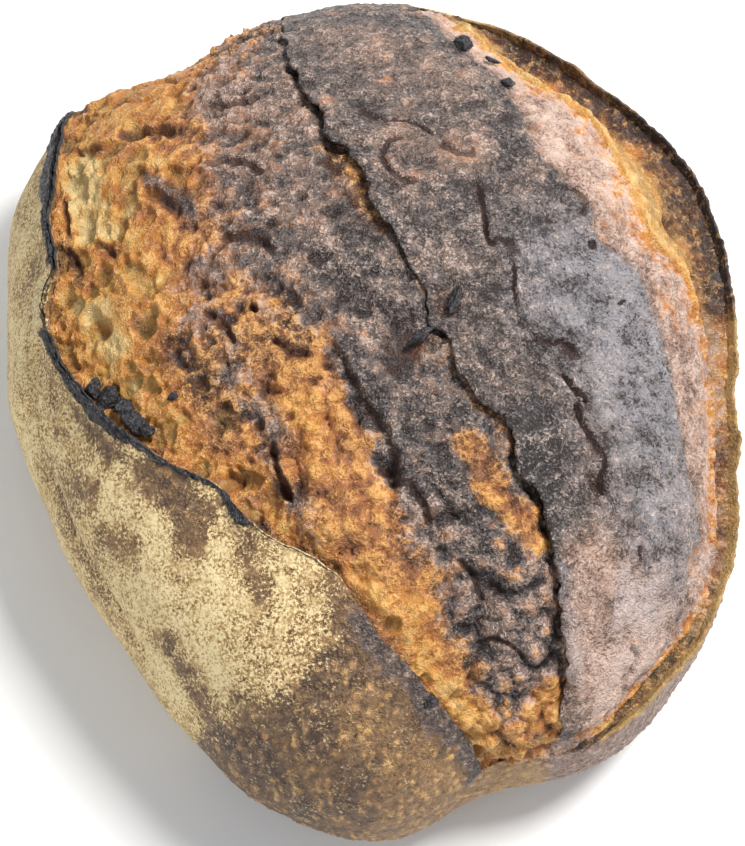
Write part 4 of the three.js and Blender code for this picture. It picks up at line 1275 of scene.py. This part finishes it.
class LOAF_OT_floured_skin(bpy.types.Operator):
    """The floured skin: both curled ears, the sides and the flat base"""
    bl_idname = "loaf.floured_skin"
    bl_label = "Floured skin"

    SHARES = (480, 60, 380, 80)  # columns on the left ear, near link, right ear and far link
    # Where each place on the opening reaches the foot: (s, t, degrees round the foot).
    FEET = [
        (-91, 98, 131), (-104, 9, 168), (-88, -27, 190), (-50, -52, 212), (-18, -64, 232),
        (-1, -80, 246), (15, -102, 262), (33, -132, 281), (53, -124, 292), (67, -116, 298),
        (99, -91, 314), (133, -57, 335), (136, -17, 352), (127, 27, 373), (101, 72, 398),
        (66, 96, 420), (24, 115, 440), (-5, 133, 455), (-30, 131, 468), (-91, 98, 491),
    ]
    FLOOR_RINGS, ROOT_RINGS, LIP_RINGS, SKIN_ROWS = 3, 3, 10, 72
    ROOTS = [(-4.0, -16.0), (-2.5, -6.0), (-1.2, -2.2)]  # (outwards, up) of the buried rings
    BELLY = 25.0  # how far the walk to the foot first heads straight outwards
    SOFT_COLUMNS, STEADYING = 9, 6
    FLOOR_DROP = 6.0  # the hidden floor lies this far under the torn pieces' underside

    def opening(self):
        """The closed line of the opening, walked anticlockwise from the far end of the left ear."""
        left = np.vstack([LEFT_RIM, NEAR_LINK[0]])
        right = EAR_RIGHT.curve[::-1]
        parts = [left, rounded(NEAR_LINK, 1.0), right, rounded(FAR_LINK, 1.0)]
        places, kinds = [], []
        for kind, (part, count) in enumerate(zip(parts, self.SHARES)):
            places.append(along_points(part, count + 1)[:-1])
            kinds.append(np.stack([np.full(count, kind), np.arange(count) / count], -1))
        return np.vstack(places), np.vstack(kinds)

    def execute(self, context):
        piece, column, ring = grid_piece("floured_skin", SKIN_COLUMNS + 1, SKIN_RINGS + 1)
        column %= SKIN_COLUMNS

        line, kinds = self.opening()
        way = np.roll(line, -1, 0) - np.roll(line, 1, 0)
        for _ in range(self.STEADYING):  # steadies the outward way along the ragged line
            way = (np.roll(way, 1, 0) + way + np.roll(way, -1, 0)) / 3
        way /= np.linalg.norm(way, axis=1, keepdims=True)
        outward = np.stack([way[:, 1], -way[:, 0]], -1)
        walked = np.concatenate([[0], np.cumsum(np.hypot(*np.diff(line, axis=0).T))])
        foot_at = [walked[np.hypot(*(line - (s, t)).T).argmin()] for s, t, _ in self.FEET[:-1]]
        foot_at[0] = 0.0
        total = walked[-1] + np.hypot(*(line[0] - line[-1]))
        foot_angle = np.radians(np.interp(walked, foot_at + [total], [d for _, _, d in self.FEET]))
        foot = BASE_WALK * np.stack([np.cos(foot_angle), np.sin(foot_angle)], -1)

        kind, along = kinds.T
        ear_left, ear_right = kind == 0, kind == 2
        grain = Grain(SEEDS["rims"])
        on_line = crust_point(line)
        chipped = grain.layers(on_line, 3.0, 3, 0.7)
        charred = ear_left * smooth(0.0, 0.04, along) * smooth(0.54, 0.46, along)
        lip_rise = sizes().lip_rise / MM
        rise = 0.5 + (lip_rise - 0.5 + 1.3 * chipped) * charred
        rim_chips = grain.layers(on_line + 90, 7.0, 4, 0.65)
        standing = ear_right * fade(along, 0.06, 0.06)
        rise = rise + standing * (sizes().rim_rise / MM - 0.3 + 2.4 * rim_chips)
        rise = np.where((kind == 1) | (kind == 3), -0.2, rise)
        right_lean = 0.4 + (1.4 + 2.5 * rim_chips) * ear_right * fade(along, 0.06, 0.06)
        lean = np.where(ear_left, 0.4 + 1.6 * charred, right_lean)
        # Half of the rise is evened out over a few columns, on round the closed line.
        soft = self.SOFT_COLUMNS
        looped = np.r_[rise[-soft // 2:], rise, rise[:soft // 2]]
        evened = np.convolve(looped, np.ones(soft) / soft, "same")[soft // 2 + 1:][:SKIN_COLUMNS]
        rise = evened * 0.5 + rise * 0.5

        first_lip = self.FLOOR_RINGS + self.ROOT_RINGS + 1
        first_skin = first_lip + self.LIP_RINGS
        last_skin = first_skin + self.SKIN_ROWS - 1
        sts = np.zeros((SKIN_RINGS + 1, SKIN_COLUMNS, 2))
        lifts = np.zeros((SKIN_RINGS + 1, SKIN_COLUMNS))
        for k, (out, up) in enumerate(self.ROOTS):
            sts[self.FLOOR_RINGS + 1 + k] = line - outward * out
            lifts[self.FLOOR_RINGS + 1 + k] = up
        for k in range(self.LIP_RINGS):
            f = (k + 1) / self.LIP_RINGS
            if f <= 0.8:
                g = f / 0.8
                out, up = -1.0 + (lean + 1.0) * g ** 0.8, -1.6 + (rise + 1.2) * g
            else:
                g = (f - 0.8) / 0.2
                out, up = lean - 0.5 * g, rise - 0.4 + 0.4 * np.sqrt(g)
            sts[first_lip + k] = line - outward * (np.ones(SKIN_COLUMNS) * out)[:, None]
            lifts[first_lip + k] = up
        spacing = np.cumsum(np.geomspace(0.6, 2.0, self.SKIN_ROWS))
        spacing = spacing / spacing[-1]
        middle = line + outward * self.BELLY
        for k, f in enumerate(spacing):
            walk_on = (1 - f) ** 2 * line + 2 * f * (1 - f) * middle + f * f * foot
            gone = np.hypot(*(walk_on - line).T)
            inwards = lean * (1 - smooth(0, 5, gone)) - 0.5 * smooth(2, 0, gone)
            sts[first_skin + k] = walk_on - outward * inwards[:, None]
            lifts[first_skin + k] = rise * (1 - smooth(0, 9, gone))
        for k in range(last_skin + 1, SKIN_RINGS + 1):
            f = (k - last_skin) / (SKIN_RINGS - last_skin)
            sts[k] = foot * mix(1.0, WALK_TO_END / BASE_WALK, min(f, 0.999))

        st, lift = sts[ring, column], lifts[ring, column]
        place = crust_point(st)
        normal = crust_normal(st)
        height, finish = skin_relief(st, place)
        outer = ring >= first_skin
        rim_height, _ = skin_relief(line, on_line)
        height = np.where(outer, height, rim_height[column])
        moved = place + normal * (height + lift)[:, None]
        moved[:, 2] = np.maximum(moved[:, 2], 0.0)
        under = np.hypot(st[:, 0], st[:, 1]) > BASE_WALK + 2
        moved[under & outer, 2] = 0.0
        root = moved[ring == self.FLOOR_RINGS + 1]
        root_column = column[ring == self.FLOOR_RINGS + 1]
        ordered = root[np.argsort(root_column)]
        centre = np.array([PLAN_CENTRE[0], PLAN_CENTRE[1], BURIED_HEIGHT - self.FLOOR_DROP])
        for k in range(self.FLOOR_RINGS + 1):
            f = k / (self.FLOOR_RINGS + 1)
            chosen = ring == k
            target = centre + (ordered[column[chosen]] - centre) * f * np.array([1, 1, 0])
            moved[chosen] = target
        moved[ring == SKIN_RINGS] = (PLAN_CENTRE[0], PLAN_CENTRE[1], 0.0)

        # Finish of the ears: burnt on the left, brown and thin on the right, where the dark inner face is
        # partly painted shade.
        kind_here, along_here = kind[column], along[column]
        inner = ring < first_skin - 2
        gone = np.where(outer, np.hypot(*(st - line[column]).T), 0.0)
        burnt_edge = Grain(SEEDS["burnt edge"]).layers(place, 4.0, 4, 0.7)
        burnt_reach = 0.42 * steps_of(LIP_WIDTHS, along_here)
        charred_here = smooth(burnt_reach + 0.7, burnt_reach - 0.7, gone + 1.8 * burnt_edge)
        charred_here = charred_here * charred[column] * (ring >= first_skin - 4)
        floured = smooth(*LIP_FLOUR[0], along_here) * smooth(*LIP_FLOUR[1], along_here)
        charred_here = charred_here * (1 - floured)
        finish["char"] = np.maximum(finish["char"], charred_here * 0.9)
        inside_left = (ring < first_skin - 3) & (kind_here == 0)
        finish["bake"] = np.where(inside_left, 0.50 + 1.2 * burnt_edge, finish["bake"])
        purple_edge = Grain(SEEDS["purple edge"]).layers(place, 5.0, 3)
        purple = (kind_here == 0) * smooth(0.70, 0.80, along_here)
        purple = purple * smooth(10.0, 2.0, gone + 5 * purple_edge)
        finish["plate"] = mix(finish["plate"], 0.75, purple)
        finish["bake"] = mix(finish["bake"], 0.74, purple)
        finish["flour"] = finish["flour"] * (1 - purple) * (1 - charred_here)
        on_right = (kind_here == 2) & (ring < first_skin + 3)
        # The right ear's inner face darkens towards its far end and higher up, partly from its well-baked
        # crust and partly from painted shade under the curled rim.
        browned_and_shaded = smooth(0.52, 0.62, along_here) * smooth(1.0, 0.92, along_here)
        height_share = smooth(-6.5, -0.5, lift + 2.5 * burnt_edge)
        rim_bake = mix(0.12, mix(0.34, 0.82, browned_and_shaded), height_share) - 0.5 * burnt_edge
        scorched_and_shaded = smooth(0.55, 0.60, along_here) * smooth(0.86, 0.76, along_here)
        rim_bake += 0.30 * scorched_and_shaded * height_share
        finish["bake"] = np.where(on_right, rim_bake, finish["bake"])
        rim_khaki = (0.75 - 0.65 * browned_and_shaded * height_share) * (0.8 + 1.5 * burnt_edge)
        finish["khaki"] = np.where(on_right, rim_khaki, finish["khaki"])
        finish["plate"] = np.where(on_right, -0.3, finish["plate"])
        finish["flour"] = np.where(on_right | inner, 0.0, finish["flour"])
        place_vertices(piece, moved)
        store(piece, finish)
        bpy.ops.object.mode_set(mode="EDIT")
        bpy.ops.mesh.select_all(action="SELECT")
        bpy.ops.mesh.remove_doubles(threshold=1e-6)
        face_outwards()
        finish_piece(piece, shared_material("floured_crust", baked_skin))
        return {"FINISHED"}


class LOAF_OT_burnt_lip(bpy.types.Operator):
    """The torn, charred blades along the left ear"""
    bl_idname = "loaf.burnt_lip"
    bl_label = "Burnt lip"

    SIDES, ROWS = 20, 620
    SPAN = (0.015, 0.765)  # shares of the left ear between which the blades stand
    # (share of the left ear, how upright the blades stand there)
    UPRIGHT = [(0.0, 0.1), (0.08, 1.0), (0.44, 1.0), (0.50, 0.4), (0.54, -0.05), (0.76, -0.1)]

    def execute(self, context):
        sides, rows = self.SIDES, self.ROWS
        put_down()
        bpy.ops.mesh.primitive_cylinder_add(vertices=sides, radius=1, depth=2, end_fill_type="NGON")
        piece = take_new("burnt_lip")
        bpy.ops.object.mode_set(mode="EDIT")
        bpy.ops.mesh.select_mode(type="EDGE")
        bpy.ops.mesh.select_all(action="DESELECT")
        bpy.ops.object.mode_set(mode="OBJECT")
        for edge in piece.data.edges:
            a, b = (piece.data.vertices[v].co for v in edge.vertices)
            edge.select = abs(a.z - b.z) > 1
        bpy.ops.object.mode_set(mode="EDIT")
        bpy.ops.mesh.subdivide_edgering(number_cuts=rows - 2, interpolation="LINEAR")
        bpy.ops.object.mode_set(mode="OBJECT")
        flat = coordinates(piece)
        row = np.rint((flat[:, 2] + 1) / 2 * (rows - 1)).astype(int)
        turn = np.arctan2(flat[:, 1], flat[:, 0])
        shares = np.linspace(*self.SPAN, rows)
        curve = along_points(LEFT_RIM, rows, shares)
        way = np.gradient(curve, axis=0)
        way /= np.linalg.norm(way, axis=1, keepdims=True)
        side = np.stack([-way[:, 1], way[:, 0]], -1)  # towards the torn side
        on_line = crust_point(curve)
        grain = Grain(SEEDS["lip"])
        teeth = grain.layers(on_line, 3.6, 4, 0.75)
        blades = 0.12 + grain.layers(on_line + 50, 11.0, 3, 0.55)
        torn = np.clip(1 + 0.9 * blades + 1.8 * teeth * smooth(0.4, 0.55, shares), 0.08, 1.6)
        width = steps_of(LIP_WIDTHS, shares) * torn
        rise = sizes().lip_rise / MM
        tall = steps_of(self.UPRIGHT, shares)
        # Section: a flattened, curled blade that leans over the torn side.
        across = np.cos(turn)
        round_blade = np.column_stack([on_line[row][:, 0], on_line[row][:, 1], turn * 3])
        thick = 0.42 + 0.25 * grain.at(round_blade, 2.2)
        half = 0.5 * width[row]
        out = 1.2 * tall[row] - 0.6 * half + across * half
        curled = (0.16 * half * across ** 2) * np.sign(across)
        up = rise * 0.76 * tall[row] + 0.4 + 0.04 * half + across * half * 0.28 * tall[row] + curled
        up = up + np.sin(turn) * thick * np.minimum(1.0, half)
        place_st = curve[row] + side[row] * out[:, None]
        base_st = curve[row]
        round_shift = np.column_stack([across * half, np.sin(turn), turn])
        roughness = grain.layers(on_line[row] + round_shift, 1.8, 3, 0.7)
        lifted = up + 1.3 * roughness * np.minimum(1, half)
        moved = crust_point(place_st) + crust_normal(base_st) * lifted[:, None]
        place_vertices(piece, moved)
        finish = blank_finish(len(flat))
        finish["bake"] += 0.95
        finish["plate"] += 0.6
        finish["char"] += 1.0
        finish["shine"] += 0.8
        flour_at = 0.4 * grain.layers(moved, 3.0, 3)
        dusted = smooth(*LIP_FLOUR[0], shares[row]) * smooth(*LIP_FLOUR[1], shares[row])
        dusted = dusted * smooth(-0.2, 0.2, np.sin(turn) - across * 0.5 + flour_at)
        finish["flour"] = 0.95 * dusted
        finish["char"] -= 1.0 * dusted
        store(piece, finish)
        put_down()
        piece.select_set(True)
        context.view_layer.objects.active = piece
        bpy.ops.object.mode_set(mode="EDIT")
        face_outwards()
        finish_piece(piece, shared_material("charred_crust", baked_bread))
        return {"FINISHED"}


class LOAF_OT_burnt_crumbs(bpy.types.Operator):
    """Charred crumbs and flakes stuck to the crust"""
    bl_idname = "loaf.burnt_crumbs"
    bl_label = "Burnt crumbs"

    # (s, t, half length, half width, half height, turn in degrees, stands up by)
    CRUMBS = [
        (-89, -17, 4.4, 3.6, 2.4, 30, -2.2), (-80, -27, 4.0, 2.6, 1.8, -35, -1.8),
        (-76, -31, 2.4, 1.8, 1.4, 10, -1.4), (23, 92, 3.2, 2.2, 1.7, -20, 0.6),
        (31, 88, 2.6, 0.8, 0.6, -25, 0.0), (35, 80, 2.2, 1.6, 1.2, 15, 0.4),
        (14, -101, 2.0, 1.5, 1.0, 40, 0.0), (22, 7, 4.4, 1.7, 1.2, 75, -0.1),
        (13, -4, 3.4, 1.6, 1.2, 35, -0.2), (-66, -21, 1.5, 1.2, 0.9, 0, 0.0),
        (-93, -13, 2.6, 2.2, 2.0, 70, -1.4), (-84, -22, 3.0, 2.2, 2.0, -20, -1.2),
    ]

    FACETS, ROUNDNESS = 14, 1.15  # planes that chip a crumb, and what makes up for the chipping

    def execute(self, context):
        put_down()
        crumbs = []
        for index, (s, t, long, wide, high, turn, up) in enumerate(self.CRUMBS):
            bpy.ops.object.select_all(action="DESELECT")
            bpy.ops.mesh.primitive_ico_sphere_add(subdivisions=4, radius=1)
            crumb = take_new(f"crumb_{index}")
            flat = coordinates(crumb)
            grain = Grain(SEEDS["burnt crumbs"] + index)
            # Chipped to an angular lump: the nearest of random planes, then roughened.
            dice = np.random.default_rng(SEEDS["burnt crumbs"] + index)
            facets = dice.normal(size=(self.FACETS, 3))
            facets /= np.linalg.norm(facets, axis=1, keepdims=True)
            facing = np.maximum(flat @ facets.T, 1e-3)
            chipped = np.minimum((dice.uniform(0.55, 0.95, self.FACETS) / facing).min(1), 1.2)
            bulge = chipped * (1 + 0.30 * grain.layers(flat * 3, 1.6, 3, 0.7))
            shape = flat * bulge[:, None] * np.array([long, wide, high]) * self.ROUNDNESS
            angle = math.radians(turn)
            st = np.array([s, t], float)
            centre, normal = crust_point(st), crust_normal(st)
            east = np.cross([0, 1, 0], normal)
            east /= np.linalg.norm(east)
            north = np.cross(normal, east)
            x = east * math.cos(angle) + north * math.sin(angle)
            y = north * math.cos(angle) - east * math.sin(angle)
            place_vertices(crumb, centre + shape @ np.array([x, y, normal]) + normal * up)
            crumbs.append(crumb)
        for crumb in crumbs:
            crumb.select_set(True)
        context.view_layer.objects.active = crumbs[0]
        bpy.ops.object.join()
        piece = take_new("burnt_crumbs")
        finish = blank_finish(len(piece.data.vertices))
        finish["bake"] += 0.95
        finish["char"] += 0.9
        finish["plate"] += 0.7
        finish["shine"] += 0.7
        store(piece, finish)
        finish_piece(piece, shared_material("charred_crust", baked_bread))
        return {"FINISHED"}


class LOAF_OT_stage(bpy.types.Operator):
    """Pale floor, soft studio light and the camera"""
    bl_idname = "loaf.stage"
    bl_label = "Stage"

    CAMERA_TARGET = (1.55, -11.0, 34.0)
    CAMERA_ELEVATION = math.radians(66)
    CAMERA_DISTANCE = 700.0
    CAMERA_LENS, CAMERA_SENSOR = 100, 36  # millimetres
    FLOOR_SIZE, FLOOR_DROP = 6, 0.0004  # metres
    FLOOR_TONES = (0.83, 0.83, 0.82, 1), (0.87, 0.87, 0.865, 1)
    FLOOR_CLOUDS = 60.0  # millimetres
    ROOM_COLOUR, ROOM_STRENGTH = (0.93, 0.95, 1.0, 1), 0.38
    # name, place in metres, size in metres, power in watts, colour
    LIGHTS = [
        ("key", (0.50, 0.22, 0.95), 0.34, 16.5, (1.0, 0.985, 0.96)),
        ("fill", (-0.6, -0.9, 0.85), 1.1, 6.0, (0.97, 0.985, 1.0)),
        ("back", (0.1, 1.1, 0.55), 0.9, 3.0, (0.96, 0.98, 1.0)),
    ]

    def execute(self, context):
        put_down()
        bpy.ops.mesh.primitive_plane_add(size=self.FLOOR_SIZE, location=(0, 0, -self.FLOOR_DROP))
        floor = take_new("floor")
        bench = Bench("pale_floor")
        cloudy = bench.noise(bench.place(), self.FLOOR_CLOUDS)
        tone = bench.blend(cloudy, *self.FLOOR_TONES)
        shader = bench.node("ShaderNodeBsdfPrincipled", {}, {"Base Color": tone, "Roughness": 0.9})
        bench.node("ShaderNodeOutputMaterial", {}, {"Surface": shader})
        floor.data.materials.append(bench.material)

        target = np.array(self.CAMERA_TARGET) * MM
        for name, at, size, power, colour in self.LIGHTS:
            bpy.ops.object.light_add(type="AREA", location=at)
            lamp = bpy.context.object
            lamp.name = name
            lamp.data.size = size
            lamp.data.energy = power
            lamp.data.color = colour
            lamp.rotation_euler = self.facing(at, target)
        back = np.array([0, -math.cos(self.CAMERA_ELEVATION), math.sin(self.CAMERA_ELEVATION)])
        seat = target + back * self.CAMERA_DISTANCE * MM
        bpy.ops.object.camera_add(location=tuple(seat), rotation=self.facing(seat, target))
        camera = bpy.context.object
        camera.data.lens = self.CAMERA_LENS
        camera.data.sensor_width = self.CAMERA_SENSOR
        camera.data.sensor_fit = "AUTO"
        context.scene.camera = camera
        world = bpy.data.worlds.new("soft_room")
        world.use_nodes = True
        light = world.node_tree.nodes["Background"]
        light.inputs["Color"].default_value = self.ROOM_COLOUR
        light.inputs["Strength"].default_value = self.ROOM_STRENGTH
        context.scene.world = world
        context.scene.view_settings.view_transform = "Standard"
        return {"FINISHED"}

    @staticmethod
    def facing(seat, target):
        return (Vector(target) - Vector(seat)).to_track_quat("-Z", "Y").to_euler()


class LOAF_PT_sidebar(bpy.types.Panel):
    """Lists the loaf's pieces in the order they are made"""
    bl_idname = "LOAF_PT_sidebar"
    bl_label = "Sourdough loaf"
    bl_space_type = "VIEW_3D"
    bl_region_type = "UI"
    bl_category = "Loaf"

    def draw(self, context):
        for group in (context.scene.loaf_sizes, context.scene.loaf_colours):
            for name in group.__annotations__:
                self.layout.prop(group, name)
        for operator in OPERATORS:
            self.layout.operator(operator.bl_idname)


OPERATORS = (
    LOAF_OT_torn_crumb, LOAF_OT_top_plate, LOAF_OT_floured_skin, LOAF_OT_burnt_lip, LOAF_OT_burnt_crumbs,
    LOAF_OT_stage,
)
CLASSES = (LoafSizes, LoafColours, *OPERATORS, LOAF_PT_sidebar)


def register():
    """Adds the settings, the operators and the panel."""
    for item in CLASSES:
        bpy.utils.register_class(item)
    bpy.types.Scene.loaf_sizes = PointerProperty(type=LoafSizes)
    bpy.types.Scene.loaf_colours = PointerProperty(type=LoafColours)


def unregister():
    """Takes them away again."""
    del bpy.types.Scene.loaf_colours
    del bpy.types.Scene.loaf_sizes
    for item in reversed(CLASSES):
        bpy.utils.unregister_class(item)


def main():
    """Builds the stage and every piece."""
    register()
    bpy.ops.loaf.torn_crumb()
    bpy.ops.loaf.top_plate()
    bpy.ops.loaf.floured_skin()
    bpy.ops.loaf.burnt_lip()
    bpy.ops.loaf.burnt_crumbs()
    bpy.ops.loaf.stage()


if __name__ == "__main__":
    main()
